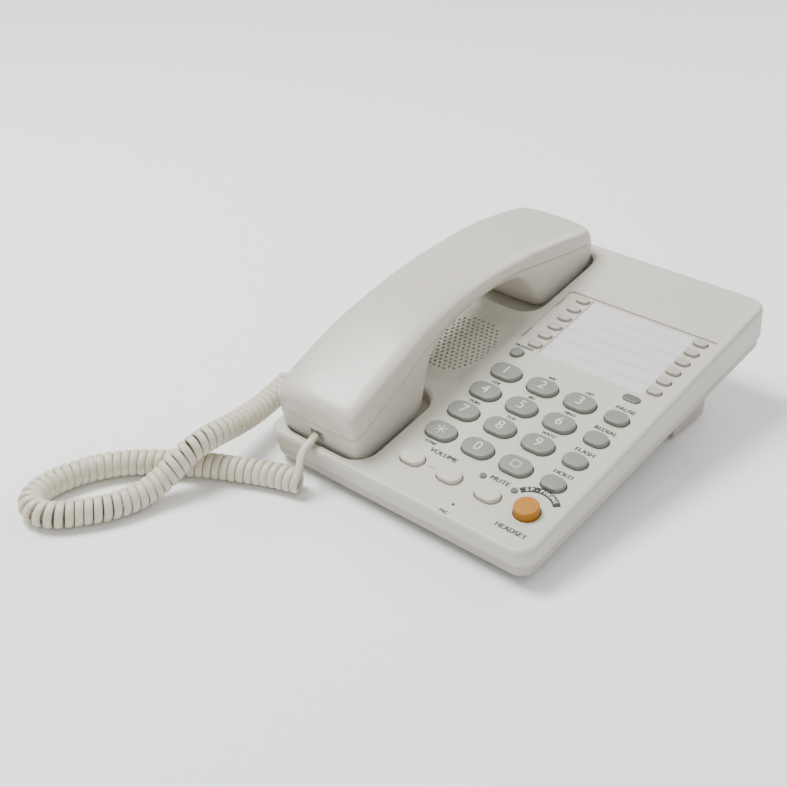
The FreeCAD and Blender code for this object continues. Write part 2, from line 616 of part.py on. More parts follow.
def make_key_mat():
    """Rubber mat on the board, with a contact pad under each key"""
    shapes = [block("mat_sheet", f"{BOARD_RIGHT} - {BOARD_LEFT} - 2",
                    f"{BOARD_BACK} - {BOARD_FRONT} - 2", "2", BOARD_TOP, MAT_TOP,
                    f"({BOARD_RIGHT} + {BOARD_LEFT}) / 2",
                    f"({BOARD_BACK} + {BOARD_FRONT}) / 2")]
    for name, width, depth, radius, height, x, y in KEYS:
        shapes.append(rod(name + "_contact", "sizes.pad_radius", BOARD_TOP,
                          f"{MAT_TOP} + sizes.mat_pad", x, y))
    keep(fuse("keypad_mat", shapes), "keypad_mat")


def make_loudspeaker():
    """Round loudspeaker under the grille: rim, basket and magnet"""
    top = "-sizes.tray_depth - sizes.wall"
    rim = rod("speaker_rim_disc", "sizes.speaker_radius", f"{top} - sizes.speaker_rim", top,
              GRILLE_X, "sizes.grille_y")
    basket = doc.addObject("Part::Cone", "speaker_basket")
    basket.setExpression("Radius1", "sizes.magnet_radius")
    basket.setExpression("Radius2", "sizes.speaker_radius - 3")
    basket.setExpression("Height", "sizes.speaker_cone")
    basket_bottom = value(f"{top} - sizes.speaker_rim - sizes.speaker_cone")
    basket.Placement = shifted(value(GRILLE_X), size("grille_y"), basket_bottom)
    magnet = rod("speaker_magnet", "sizes.magnet_radius",
                 f"{top} - sizes.speaker_rim - sizes.speaker_cone - sizes.magnet_depth",
                 f"{top} - sizes.speaker_rim - sizes.speaker_cone",
                 GRILLE_X, "sizes.grille_y")
    keep(fuse("loudspeaker", [rim, basket, magnet]), "loudspeaker")


def make_small_electrics():
    """Case microphone, the two status lamps and the ringer lamp"""
    keep(rod("base_microphone", "sizes.mic_radius", "-sizes.wall - sizes.mic_depth",
             "-sizes.wall", MIC_X, MIC_Y), "base_microphone",
         panel_frame.multiply(shifted(value(MIC_X), value(MIC_Y),
                                      -size("wall") - size("mic_depth"))))
    lamps = []
    for number, x in enumerate(LAMP_X, start=1):
        lamps.append(rod(f"lamp_{number}", "sizes.lamp_radius", MAT_TOP, "0.6", x, LAMP_Y))
    keep(fuse("status_lamps", lamps), "status_lamps")
    keep(block("ringer_lamp", "9", "4.6", "2.25", MAT_TOP, "0.8",
               RINGER_LAMP_X, RINGER_LAMP_Y), "ringer_lamp")


def jack(name, width, height, x, y, z, along_y, inside):
    """A socket block behind a wall: inside is the wall's inner face, and which way is in"""
    face, way = inside
    grow = "2 * sizes.jack_wall"
    outer_start = face if way > 0 else f"({face}) - sizes.jack_depth"
    inner_start = f"({face}) - 1" if way > 0 else f"({face}) - sizes.jack_depth + sizes.jack_wall"
    length = "sizes.jack_depth - sizes.jack_wall + 1"
    at = (x, outer_start) if along_y else (outer_start, y)
    outer = plug_opening(name + "_block", f"({width}) + {grow}", f"({height}) + {grow}",
                         at[0], at[1], z, along_y, "sizes.jack_depth")
    at = (x, inner_start) if along_y else (inner_start, y)
    socket = plug_opening(name + "_socket", width, height, at[0], at[1], z, along_y, length)
    keep(cut(name, outer, socket), name)


def make_jacks():
    jack("line_jack", "sizes.line_socket_width", "sizes.line_socket_height",
         "sizes.line_jack_x", "0", LINE_JACK_Z, True, (f"{CASE_BACK} - sizes.wall", -1))
    jack("base_cord_jack", "sizes.cord_socket_width", "sizes.cord_socket_height", "0",
         "sizes.cord_jack_y", CORD_JACK_Z, False, (f"{CASE_LEFT} + sizes.wall", 1))


def make_hook_plunger():
    """The plunger in the ear well that the handset holds down, with its collar under the floor"""
    under = ("-sizes.well_floor - sizes.wall - sizes.hook_rise - sizes.fit_gap"
             " - sizes.flange_thick")
    stem = block("hook_stem", "sizes.hook_width", "sizes.hook_depth", "0.8", under,
                 "sizes.cup_bottom - sizes.fit_gap", CRADLE, HOOK_Y)
    collar = block("hook_collar", "sizes.hook_width + 4", "sizes.hook_depth + 4", "1", under,
                   f"{under} + sizes.flange_thick", CRADLE, HOOK_Y)
    keep(fuse("hook_plunger", [stem, collar]), "hook_plunger")


def make_ringer_switch():
    """Slide switch in the back wall: a knob on a shoe behind its slot"""
    knob = plug_opening("ringer_knob", "sizes.ringer_width", "sizes.ringer_height",
                        "sizes.ringer_x", f"{CASE_BACK} - sizes.wall - 1", RINGER_Z, True,
                        "sizes.wall + 1.8")
    shoe = plug_opening("ringer_shoe", "sizes.ringer_width + 2 * sizes.ringer_travel + 5",
                        "sizes.ringer_height + 4", "sizes.ringer_x",
                        f"{CASE_BACK} - sizes.wall - 3", RINGER_Z, True, "2.7")
    keep(fuse("ringer_switch", [knob, shoe]), "ringer_switch")


# ---------------------------------------------------------------- the handset
def rounded_wire(corners, closed=True):
    """Straight runs joined by tangent arcs: corners are (vector, radius)"""
    count = len(corners)
    starts = []
    ends = []
    arcs = []
    for number, (point, radius) in enumerate(corners):
        before = corners[(number - 1) % count][0]
        after = corners[(number + 1) % count][0]
        if not radius:
            starts.append(point)
            ends.append(point)
            arcs.append(None)
            continue
        back = (before - point).normalize()
        ahead = (after - point).normalize()
        half = back.getAngle(ahead) / 2
        reach = radius / math.tan(half)
        middle = (back + ahead).normalize() * (radius / math.sin(half) - radius)
        starts.append(point + back * reach)
        ends.append(point + ahead * reach)
        arcs.append(Part.Arc(starts[-1], point + middle, ends[-1]).toShape())
    edges = []
    for number in range(count if closed else count - 1):
        if arcs[number] is not None:
            edges.append(arcs[number])
        nearest = starts[(number + 1) % count]
        edges.append(Part.LineSegment(ends[number], nearest).toShape())
    return Part.Wire(edges)


def side_outline():
    """The handset from the side: crown, both ends, both cups and the underside of the grip"""
    bottom = size("cup_bottom")
    back = value(HANDSET_BACK)
    front = value(HANDSET_FRONT)
    mouth = size("mouth_well_end")
    ear = size("ear_well_start")
    grip = size("grip_height")
    corners = ((back - 0.8, bottom, 7), (back, size("ear_end_height"), 14),
               (-7, size("crown_height"), 250), (front, size("mouth_end_height"), 12),
               (front + 1.3, bottom, 7), (mouth - 8, bottom, 8), (mouth + 3, grip - 6, 20),
               (-4, grip, 120), (ear + 2, grip - 6.5, 18), (ear + 14, bottom, 8))
    return rounded_wire([(FreeCAD.Vector(0, y, z), radius) for y, z, radius in corners])


def plan_outline():
    """The handset from above: two wide ends and a narrower grip"""
    end = size("handset_width") / 2
    grip = size("grip_width") / 2
    corner = size("well_corner")
    mouth = size("mouth_well_end")
    ear = size("ear_well_start")
    half = [(end, value(HANDSET_FRONT), corner), (end, mouth - 2, 40), (grip, mouth + 15, 60),
            (grip, ear - 8, 60), (end, ear + 9, 40), (end, value(HANDSET_BACK), corner + 1)]
    other = [(-x, y, radius) for x, y, radius in reversed(half)]
    middle = value(CRADLE)
    return rounded_wire([(FreeCAD.Vector(x + middle, y, -30), r) for x, y, r in half + other])


def handset_form(inset):
    """The space inside both outlines, each drawn in by inset"""
    side = Part.Face(side_outline())
    plan = Part.Face(plan_outline())
    if inset:
        side = side.makeOffset2D(-inset)
        plan = plan.makeOffset2D(-inset)
    side.translate(FreeCAD.Vector(-100, 0, 0))
    return side.extrude(FreeCAD.Vector(200, 0, 0)).common(plan.extrude(FreeCAD.Vector(0, 0, 100)))


def make_handset():
    """Outer and inner shells, met at a parting line that arches with the grip"""
    form = handset_form(0)
    crown = [edge for edge in form.Edges if is_crown_edge(edge)]
    form = form.makeFillet(size("crown_rounding"), crown)
    shell = form.cut(handset_form(size("handset_wall")))
    seam = size("seam_height")
    behind = value(HANDSET_BACK) + 22.7
    before = value(HANDSET_FRONT) - 21.2
    seam_line = ((behind, seam - 27, 0), (size("ear_well_start") - 3, seam - 0.2, 60),
                 (size("mouth_well_end") + 3, seam + 0.5, 60), (before, seam - 23.7, 0),
                 (before, -60, 0), (behind, -60, 0))
    parting = rounded_wire([(FreeCAD.Vector(-100, y, z), radius) for y, z, radius in seam_line])
    below = Part.Face(parting).extrude(FreeCAD.Vector(200, 0, 0))
    inner = shell.common(below)
    middle = value(CRADLE)
    for place, radius, step in ((RECEIVER_Y, 1.0, 6.0), (TRANSMITTER_Y, 0.8, 3.5)):
        for column in (-1, 0, 1):
            hole = Part.makeCylinder(radius, 10, FreeCAD.Vector(middle + column * step,
                                                                value(place), -12))
            inner = inner.cut(hole)
    inner = inner.cut(handset_socket(size("cord_socket_width"), size("cord_socket_height"), 12, -4))
    for label, shape in (("handset_outer_shell", shell.cut(below)),
                         ("handset_inner_shell", inner)):
        feature = doc.addObject("Part::Feature", label)
        feature.Shape = shape
        keep(feature, label)


def is_crown_edge(edge):
    """An edge that runs along the crown's rim, from end to end of the handset"""
    box_ = edge.BoundBox
    return box_.ZMin > 15 and box_.ZMax - box_.ZMin < 25 and box_.YLength > 1 and above_grip(edge)


def above_grip(edge):
    middle = edge.valueAt((edge.FirstParameter + edge.LastParameter) / 2)
    return middle.z > 26.5 or abs(middle.y) > 60 and middle.z > 15


def handset_socket(width, height, length, start):
    """A square block along Y at the handset's cord exit, from start behind the front end"""
    corner = FreeCAD.Vector(value(CRADLE) - width / 2, value(HANDSET_FRONT) + start,
                            size("exit_height") - height / 2)
    return Part.makeBox(width, length, height, corner)


def make_handset_inside():
    """Receiver, transmitter and the cord jack in the handset"""
    floor = "sizes.cup_bottom + sizes.handset_wall"
    middle = CRADLE
    for label, radius, depth, y in (("receiver_capsule", "sizes.capsule_radius",
                                     "sizes.capsule_depth", RECEIVER_Y),
                                    ("transmitter_capsule", "sizes.transmitter_radius",
                                     "sizes.transmitter_depth", TRANSMITTER_Y)):
        capsule = rod(label, radius, floor, f"{floor} + {depth}", middle, y)
        keep(capsule, label, panel_frame.multiply(shifted(value(middle), value(y), value(floor))))
    wall = size("jack_wall")
    width = size("cord_socket_width")
    height = size("cord_socket_height")
    start = size("handset_wall") + 1.3
    block_shape = handset_socket(width + 2 * wall, height + 2 * wall, size("jack_depth"), start)
    opening = handset_socket(width, height, size("jack_depth") - wall + 1, start - 1)
    feature = doc.addObject("Part::Feature", "handset_cord_jack")
    feature.Shape = block_shape.cut(opening)
    keep(feature, "handset_cord_jack")


# ---------------------------------------------------------------- the cord
def row_point(x, y, z):
    """A place in the panel frame, in the table's frame"""
    return panel_frame.multVec(FreeCAD.Vector(x, y, z))


def tube(label, points, diameter):
    """A round tube along straight runs joined by the largest tangent arcs that fit"""
    route = [FreeCAD.Vector(*point) for point in points]
    corners = [(route[0], 0)]
    for before, point, after in zip(route, route[1:], route[2:]):
        shorter = min((before - point).Length, (after - point).Length)
        turn = math.pi - (before - point).getAngle(after - point)
        radius = 0.45 * shorter / math.tan(turn / 2)
        corners.append((point, radius))
        print(f"{label}: radius {radius:.1f} mm, {radius / diameter:.1f} diameters,"
              f" turn {math.degrees(turn):.0f} degrees, run {shorter:.0f} mm")
    corners.append((route[-1], 0))
    path = rounded_wire(corners, closed=False)
    section = Part.Wire(Part.Circle(route[0], route[1] - route[0], diameter / 2).toShape())
    solid = path.makePipeShell([section], True, False)
    expected = math.pi * diameter ** 2 / 4 * path.Length
    print(f"{label}: length {path.Length:.1f} mm, volume ratio {solid.Volume / expected:.4f}")
    feature = doc.addObject("Part::Feature", label)
    feature.Shape = solid
    keep(feature, label, unmoved)
    return path.Length


def make_plug(label, lengths, corner):
    """A modular plug: the clear block in its jack and the short end outside it"""
    feature = doc.addObject("Part::Feature", label)
    shape = Part.makeBox(*lengths, FreeCAD.Vector(*corner))
    feature.Shape = shape
    keep(feature, label)


def make_plugs():
    gap = size("plug_gap")
    width = size("cord_socket_width") - 2 * gap
    height = size("cord_socket_height") - 2 * gap
    left = value(CASE_LEFT) - size("boot_length")
    length = size("boot_length") + size("wall") + size("plug_depth")
    make_plug("plug_base", (length, width, height),
              (left, size("cord_jack_y") - width / 2, value(CORD_JACK_Z) - height / 2))
    start = value(HANDSET_FRONT) - 1.0
    make_plug("plug_handset", (width, size("plug_depth") + 3.5, height),
              (value(CRADLE) - width / 2, start, size("exit_height") - height / 2))


COIL_POINTS = (
    (-46, -115.5, 6.4), (-57, -118.5, 6.4), (-69.5, -125, 6.4), (-82.5, -132, 6.4),
    (-95.5, -140.5, 6.4), (-107.5, -149.5, 6.4), (-117.5, -160.5, 6.4), (-124, -173.5, 6.4),
    (-127, -187, 6.4), (-126.6, -197.5, 6.4), (-122, -205.3, 6.4), (-113.5, -207.8, 6.4),
    (-105.5, -203, 6.4), (-99.5, -194.5, 6.4), (-93.5, -185, 6.4), (-89.5, -172.5, 6.4), (-87.5, -160.5, 9),
    (-86, -150, 15.5), (-84.6, -140, 20.6), (-84.4, -127, 21.2), (-87, -111, 18.2),
    (-90.5, -95, 16), (-93.5, -79.5, 16.4), (-95, -66, 19),
)


def make_cord():
    """Straight end at the handset, the curled length on the table, straight end at the case"""
    lead = size("lead_diameter")
    out = row_point(value(CRADLE), value(HANDSET_FRONT) - 1.0, size("exit_height"))
    start = FreeCAD.Vector(*COIL_POINTS[0])
    way_in = (FreeCAD.Vector(*COIL_POINTS[1]) - start).normalize()
    last_run = start - way_in * 4.6
    end = start - way_in * size("fit_gap")
    first = (
        (out.x, out.y - size("fit_gap"), out.z), (out.x - 0.2, out.y - 7.5, out.z - 1.4),
        (out.x + 1.6, out.y - 12.0, 17.3), (out.x + 6.2, out.y - 13.8, 13.0),
        (out.x + 8.2, out.y - 14.0, 8.4), (last_run.x, last_run.y, last_run.z - 0.9),
        (end.x, end.y, end.z),
    )
    tube("cord_lead_handset", first, lead)
    tube("cord_coil", COIL_POINTS, size("coil_diameter"))
    plug = row_point(value(CASE_LEFT) - size("boot_length"), size("cord_jack_y"),
                     value(CORD_JACK_Z))
    last = (COIL_POINTS[-1], (-95.4, -55, 21.8), (-93.5, -44.5, 24.0),
            (-88.5, plug.y - 1.5, plug.z), (plug.x - 0.1, plug.y, plug.z))
    tube("cord_lead_base", last, lead)


make_keys()
make_top_cover()
make_bottom_cover()
make_case_screws()
make_rear_stand()
make_rubber_feet()
make_label_card()
make_board()
make_key_mat()
make_loudspeaker()
make_small_electrics()
make_jacks()
make_hook_plunger()
make_ringer_switch()
make_handset()
make_handset_inside()
make_plugs()
make_cord()
doc.recompute()

for item in doc.Objects:
    if "Invalid" in item.State or "Error" in item.State:
        raise RuntimeError(f"{item.Name} failed: {item.State}")
for piece in sub_parts:
    if piece.Shape.isNull() or not piece.Shape.isValid():
        raise RuntimeError(f"{piece.Label} has no valid shape")

os.makedirs("parts", exist_ok=True)
for piece in sub_parts:
    piece.Shape.exportStep(f"parts/{piece.Label}.step")
    limits = piece.Shape.BoundBox
    print(piece.Label, len(piece.Shape.Solids), round(piece.Shape.Volume, 1),
          [round(number, 1) for number in (limits.XMin, limits.XMax, limits.YMin, limits.YMax,
                                           limits.ZMin, limits.ZMax)])
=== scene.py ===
import json
import math

import bmesh
import bpy
from mathutils import Euler, Matrix, Vector

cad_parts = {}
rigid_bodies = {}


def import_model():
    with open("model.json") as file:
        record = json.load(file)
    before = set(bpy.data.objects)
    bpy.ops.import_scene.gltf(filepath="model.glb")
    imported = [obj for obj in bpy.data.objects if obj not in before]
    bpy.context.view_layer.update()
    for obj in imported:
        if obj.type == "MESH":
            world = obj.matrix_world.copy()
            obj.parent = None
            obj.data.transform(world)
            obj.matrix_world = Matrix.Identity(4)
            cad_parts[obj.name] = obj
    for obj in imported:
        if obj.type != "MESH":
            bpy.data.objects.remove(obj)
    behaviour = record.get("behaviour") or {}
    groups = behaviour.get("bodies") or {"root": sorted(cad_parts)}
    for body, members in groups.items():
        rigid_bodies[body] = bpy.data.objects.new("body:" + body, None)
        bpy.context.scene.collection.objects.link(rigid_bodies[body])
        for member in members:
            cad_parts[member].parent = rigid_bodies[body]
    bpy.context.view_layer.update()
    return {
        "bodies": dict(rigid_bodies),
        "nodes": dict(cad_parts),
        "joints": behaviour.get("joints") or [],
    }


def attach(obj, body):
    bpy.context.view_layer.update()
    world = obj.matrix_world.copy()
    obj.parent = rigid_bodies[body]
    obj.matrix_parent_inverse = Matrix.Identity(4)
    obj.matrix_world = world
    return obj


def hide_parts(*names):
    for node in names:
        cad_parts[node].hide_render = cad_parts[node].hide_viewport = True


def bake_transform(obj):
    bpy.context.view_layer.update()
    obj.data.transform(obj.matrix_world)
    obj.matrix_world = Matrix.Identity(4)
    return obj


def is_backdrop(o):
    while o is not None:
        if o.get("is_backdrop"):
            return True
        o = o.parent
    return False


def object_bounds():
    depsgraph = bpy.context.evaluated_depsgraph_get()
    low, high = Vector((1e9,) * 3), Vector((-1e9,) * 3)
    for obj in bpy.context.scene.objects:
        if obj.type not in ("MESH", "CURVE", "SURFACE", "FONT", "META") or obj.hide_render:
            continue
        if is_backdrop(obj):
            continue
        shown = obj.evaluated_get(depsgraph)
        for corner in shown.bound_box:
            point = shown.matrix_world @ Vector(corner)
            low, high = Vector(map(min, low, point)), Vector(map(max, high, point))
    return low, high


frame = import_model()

MM = 0.001

# ------------------------------------------------------------------ table, light and camera
# The telephone stands on a plain pale table top under three soft lamps, seen from the front
# right at about thirty degrees above the table.
bpy.ops.mesh.primitive_plane_add(size=6)
table_top = bpy.context.object
table_top.name = "table_top"
table_top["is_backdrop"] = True
pale = bpy.data.materials.new("pale_table")
pale.use_nodes = True
pale.node_tree.nodes["Principled BSDF"].inputs["Base Color"].default_value = (0.94, 0.94, 0.94, 1)
pale.node_tree.nodes["Principled BSDF"].inputs["Roughness"].default_value = 0.7
table_top.data.materials.append(pale)

sky = bpy.data.worlds.new("studio")
bpy.context.scene.world = sky
sky.use_nodes = True
sky.node_tree.nodes["Background"].inputs["Color"].default_value = (1, 1, 1, 1)
sky.node_tree.nodes["Background"].inputs["Strength"].default_value = 0.55

LAMPS = (
    # name, place, size, watts
    ("key_lamp", (-0.65, -0.25, 1.25), 0.6, 32),
    ("fill_lamp", (0.9, -0.9, 1.0), 1.2, 5),
    ("back_lamp", (0.2, 1.2, 1.0), 1.0, 14),
)
for lamp_name, place, width, watts in LAMPS:
    bpy.ops.object.light_add(type="AREA", location=place)
    lamp = bpy.context.object
    lamp.name = lamp_name
    lamp.data.size = width
    lamp.data.energy = watts
    lamp.rotation_euler = (-Vector(place)).to_track_quat("-Z", "Y").to_euler()

bpy.ops.object.camera_add(location=(0.28185, -0.44016, 0.33832))
camera = bpy.context.object
camera.rotation_euler = Euler([math.radians(angle) for angle in (58.252, -0.885, 40.266)])
camera.data.lens = 56.46
camera.data.sensor_width = 36
bpy.context.scene.camera = camera

# ------------------------------------------------------------------ the panel's frame
# Keys, cradle and handset are square to the sloping key panel, so they are made in its frame,
# in millimetres, with X to the right, Y up the slope and Z out of the panel's face.  The panel
# matrix then stands them on the table, in metres.
panel_out = Vector(next(j["axis"] for j in frame["joints"] if j["name"] == "handset_lift"))
panel_out.normalize()
panel_right = Vector((1, 0, 0))
panel_back = panel_out.cross(panel_right)


def extent(node, direction):
    """How far a CAD node reaches along a direction"""
    reach = [direction.dot(vertex.co) for vertex in frame["nodes"][node].data.vertices]
    return min(reach), max(reach)


panel_face = extent("label_window", panel_out)[1]
panel_middle = sum(extent("top_cover", panel_back)) / 2
panel_turn = Matrix((panel_right, panel_back, panel_out)).transposed().to_4x4()
panel = (Matrix.Translation(panel_out * panel_face + panel_back * panel_middle) @ panel_turn
         @ Matrix.Scale(MM, 4))


def panel_box(node):
    """Lowest and highest corner of a CAD node in the panel's frame, in mm"""
    back = panel.inverted()
    places = [back @ vertex.co for vertex in frame["nodes"][node].data.vertices]
    low = Vector(min(place[axis] for place in places) for axis in range(3))
    high = Vector(max(place[axis] for place in places) for axis in range(3))
    return low, high


# ------------------------------------------------------------------ shader maths
class Value:
    """A number that changes over a surface, as a socket of one material's nodes"""

    def __init__(self, finish, socket):
        self.finish = finish
        self.socket = socket

    def maths(self, operation, *numbers):
        return self.finish.node("ShaderNodeMath", {"operation": operation}, numbers)["Value"]

    def __add__(self, other):
        return self.maths("ADD", self, other)

    def __mul__(self, other):
        return self.maths("MULTIPLY", self, other)

    def __sub__(self, other):
        return self.maths("SUBTRACT", self, other)

    __radd__ = __add__
    __rmul__ = __mul__


class Finish:
    """One material: a Principled shader, and the nodes that feed it"""

    def __init__(self, name):
        self.material = bpy.data.materials.new(name)
        self.material.use_nodes = True
        self.tree = self.material.node_tree
        self.shader = self.tree.nodes["Principled BSDF"]

    def node(self, kind, settings, inputs):
        """A node of a kind: settings first, then the values or links of its sockets"""
        made = self.tree.nodes.new(kind)
        for setting, value in settings.items():
            setattr(made, setting, value)
        pairs = inputs.items() if isinstance(inputs, dict) else enumerate(inputs)
        for socket, value in pairs:
            self.feed(made.inputs[socket], value)
        return {output.name: Value(self, output) for output in made.outputs if output.enabled}

    def feed(self, socket, value):
        if isinstance(value, Value):
            self.tree.links.new(value.socket, socket)
        else:
            socket.default_value = value

    def set(self, **inputs):
        for name, value in inputs.items():
            self.feed(self.shader.inputs[name.replace("_", " ").title()], value)

    def place(self):
        return self.node("ShaderNodeTexCoord", {}, {})["Object"]

    def noise(self, scale, detail=3.0, vector=None):
        inputs = {"Vector": vector or self.place(), "Scale": scale, "Detail": detail}
        return self.node("ShaderNodeTexNoise", {}, inputs)["Fac"]

    def mix(self, factor, first, second):
        """Two colours mixed; the sockets go by number, since several share one name"""
        made = self.tree.nodes.new("ShaderNodeMix")
        made.data_type = "RGBA"
        for socket, value in ((0, factor), (6, first), (7, second)):
            self.feed(made.inputs[socket], value)
        return Value(self, made.outputs[2])

    def bump(self, height, strength, distance):
        inputs = {"Height": height, "Strength": strength, "Distance": distance}
        self.feed(self.shader.inputs["Normal"],
                  self.node("ShaderNodeBump", {}, inputs)["Normal"])


# ------------------------------------------------------------------ the upper moulding
# One injection-moulded shell in warm off-white plastic with a fine satin grain: the sloping key
# panel, the two wells and the sound-hole floor of the cradle, and walls down to the seam that
# runs round the case.  Five screws from below hold it to the lower moulding.
CORNER = 9.0
EDGE_ROUNDING = 2.8
WALL = 2.5
SEAM_DEPTH = 13.5
PARTING_GAP = 0.8
SEAM_TILT = math.tan(math.radians(2.67))
WELL_CORNER = 12.0
WELL_LIP = 1.8
SOUND_HOLE = 0.82
SOUND_HOLE_PITCH = 2.95
SOUND_HOLE_REACH = (18.5, 23.0)
SOUND_HOLE_MIDDLE = (-39.0, -1.5)
CLEAR_OF_PANEL = 3.0
TINY = 0.01


def add_block(name, low, high):
    """A plain block between two corners, in mm, as a start"""
    bpy.ops.object.select_all(action="DESELECT")
    low = Vector(low)
    high = Vector(high)
    bpy.ops.mesh.primitive_cube_add(size=1, location=(low + high) / 2)
    piece = bpy.context.object
    piece.name = name
    piece.scale = high - low
    bpy.ops.object.transform_apply(location=True, rotation=False, scale=True)
    return piece


def choose(kind, test):
    """Selects what passes a test, in the piece that is in edit mode"""
    bpy.ops.mesh.select_mode(type=kind)
    bpy.ops.mesh.select_all(action="DESELECT")
    mesh = bmesh.from_edit_mesh(bpy.context.object.data)
    for part in {"VERT": mesh.verts, "EDGE": mesh.edges, "FACE": mesh.faces}[kind]:
        if test(part):
            part.select_set(True)
    bmesh.update_edit_mesh(bpy.context.object.data)


def is_upright(edge):
    step = edge.verts[0].co - edge.verts[1].co
    return abs(step.x) < TINY and abs(step.y) < TINY


def at_height(height):
    """A test for faces or edges that lie at one height, in mm"""
    return lambda part: all(abs(vertex.co.z - height) < TINY for vertex in part.verts)


def round_block(name, low, high, corner, segments=8):
    """A block with its upright edges rounded, left in edit mode"""
    piece = add_block(name, low, high)
    bpy.ops.object.mode_set(mode="EDIT")
    choose("EDGE", is_upright)
    bpy.ops.mesh.bevel(offset=corner, segments=segments, affect="EDGES")
    bpy.ops.mesh.select_all(action="SELECT")
    bpy.ops.mesh.remove_doubles(threshold=TINY)
    return piece


def climb(height, steps):
    """Carries a cutter's top face up and out in steps of rise and growth, in mm"""
    grown = 0.0
    risen = 0.0
    choose("FACE", at_height(height))
    for rise, growth in steps:
        bpy.ops.mesh.extrude_region_move(TRANSFORM_OT_translate={"value": (0, 0, rise - risen)})
        mesh = bmesh.from_edit_mesh(bpy.context.object.data)
        corners = [vertex.co for vertex in mesh.verts if vertex.select]
        low = Vector(min(co[axis] for co in corners) for axis in range(3))
        high = Vector(max(co[axis] for co in corners) for axis in range(3))
        size = high - low
        more = 2 * (growth - grown)
        bpy.ops.transform.resize(value=((size.x + more) / size.x, (size.y + more) / size.y, 1),
                                 center_override=(low + high) / 2)
        grown = growth
        risen = rise


def flare(height, lip):
    """Rolls a cutter's top out round a lip, and then carries it clear of the surface"""
    steps = [(math.sin(angle) * lip, (1 - math.cos(angle)) * lip)
             for angle in (math.radians(25), math.radians(50), math.radians(75))]
    steps.append((lip + CLEAR_OF_PANEL, steps[-1][1]))
    climb(height, steps)


def cutter(name, low, high, corner, lip, foot=0.0, segments=8):
    """A rounded opening: its wall, a rounded foot and a lip that rolls out to the surface"""
    piece = round_block(name, low, (high[0], high[1], high[2] - lip), corner, segments)
    if foot:
        choose("EDGE", at_height(low[2]))
        bpy.ops.mesh.bevel(offset=foot, segments=3, affect="EDGES")
    flare(high[2] - lip, lip)
    bpy.ops.object.mode_set(mode="OBJECT")
    return piece


def join(pieces):
    """Several pieces as one"""
    if len(pieces) == 1:
        return pieces[0]
    bpy.ops.object.select_all(action="DESELECT")
    for piece in pieces:
        piece.select_set(True)
    bpy.context.view_layer.objects.active = pieces[0]
    bpy.ops.object.join()
    return pieces[0]


def apply_modifier(piece, kind, **settings):
    modifier = piece.modifiers.new(kind.lower(), kind)
    for name, value in settings.items():
        setattr(modifier, name, value)
    bpy.context.view_layer.objects.active = piece
    bpy.ops.object.modifier_apply(modifier=modifier.name)


def combine(piece, tool, operation="DIFFERENCE"):
    """Cuts, joins or trims a piece with a tool, which is used up"""
    apply_modifier(piece, "BOOLEAN", object=tool, operation=operation, solver="EXACT")
    bpy.data.objects.remove(tool)


def copied(piece, name, offset=(0, 0, 0)):
    """A copy with its own mesh, moved by an offset in mm"""
    twin = piece.copy()
    twin.data = piece.data.copy()
    twin.name = name
    bpy.context.scene.collection.objects.link(twin)
    twin.data.transform(Matrix.Translation(Vector(offset)))
    return twin


def smooth(piece, degrees=32):
    """Smooth shading across soft edges, with flat faces kept flat up to their rounding"""
    bpy.ops.object.select_all(action="DESELECT")
    piece.select_set(True)
    bpy.context.view_layer.objects.active = piece
    bpy.ops.object.shade_smooth_by_angle(angle=math.radians(degrees))
    apply_modifier(piece, "WEIGHTED_NORMAL", keep_sharp=True, weight=80)


def seat(piece, body, slot, *finishes, replaces=()):
    """Stands a piece made in the panel's frame on the table, with its finishes and its body"""
    piece.data.transform(panel)
    if not piece.data.materials:
        for finish in finishes:
            piece.data.materials.append(finish.material)
    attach(piece, body)
    if replaces:
        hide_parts(*replaces)


def dimensions(node):
    """Width, depth and middle of a CAD node in the panel's frame, in mm"""
    low, high = panel_box(node)
    return high - low, (high + low) / 2


def moulded(name, first, second, roughness, grain=0.10, coat=0.0):
    """Moulded plastic: a faint cloudiness, a fine spark-eroded grain and rubbed patches"""
    finish = Finish(name)
    cloud = finish.noise(22.0, 4.0)
    rubbed = finish.noise(9.0, 2.0)
    fine = finish.noise(2600.0, 2.0)
    finish.set(base_color=finish.mix(cloud, first, second),
               roughness=roughness + 0.10 * rubbed + 0.05 * fine)
    finish.shader.inputs["Coat Weight"].default_value = coat
    finish.shader.inputs["Coat Roughness"].default_value = 0.12
    finish.bump(fine, grain, 0.00015)
    return finish


case_plastic = moulded("case_plastic", (0.515, 0.497, 0.42, 1), (0.55, 0.53, 0.455, 1), 0.34)

case_size = dimensions("top_cover")[0]
HALF_WIDTH = case_size.x / 2
HALF_DEPTH = case_size.y / 2


def below_seam(piece, gap=0.0):
    """Cuts away what lies under the seam round the case, and closes the cut"""
    bpy.ops.object.select_all(action="DESELECT")
    bpy.context.view_layer.objects.active = piece
    bpy.ops.object.mode_set(mode="EDIT")
    bpy.ops.mesh.select_all(action="SELECT")
    bpy.ops.mesh.bisect(plane_co=(0, 0, gap - SEAM_DEPTH), plane_no=(0, SEAM_TILT, 1),
                        use_fill=True, clear_inner=True)
    bpy.ops.object.mode_set(mode="OBJECT")


case_top = round_block("case_top", (-HALF_WIDTH, -HALF_DEPTH, -30), (HALF_WIDTH, HALF_DEPTH, 0),
                       CORNER, 10)
choose("EDGE", at_height(0))
bpy.ops.mesh.bevel(offset=EDGE_ROUNDING, segments=6, affect="EDGES")
bpy.ops.object.mode_set(mode="OBJECT")
below_seam(case_top, PARTING_GAP)

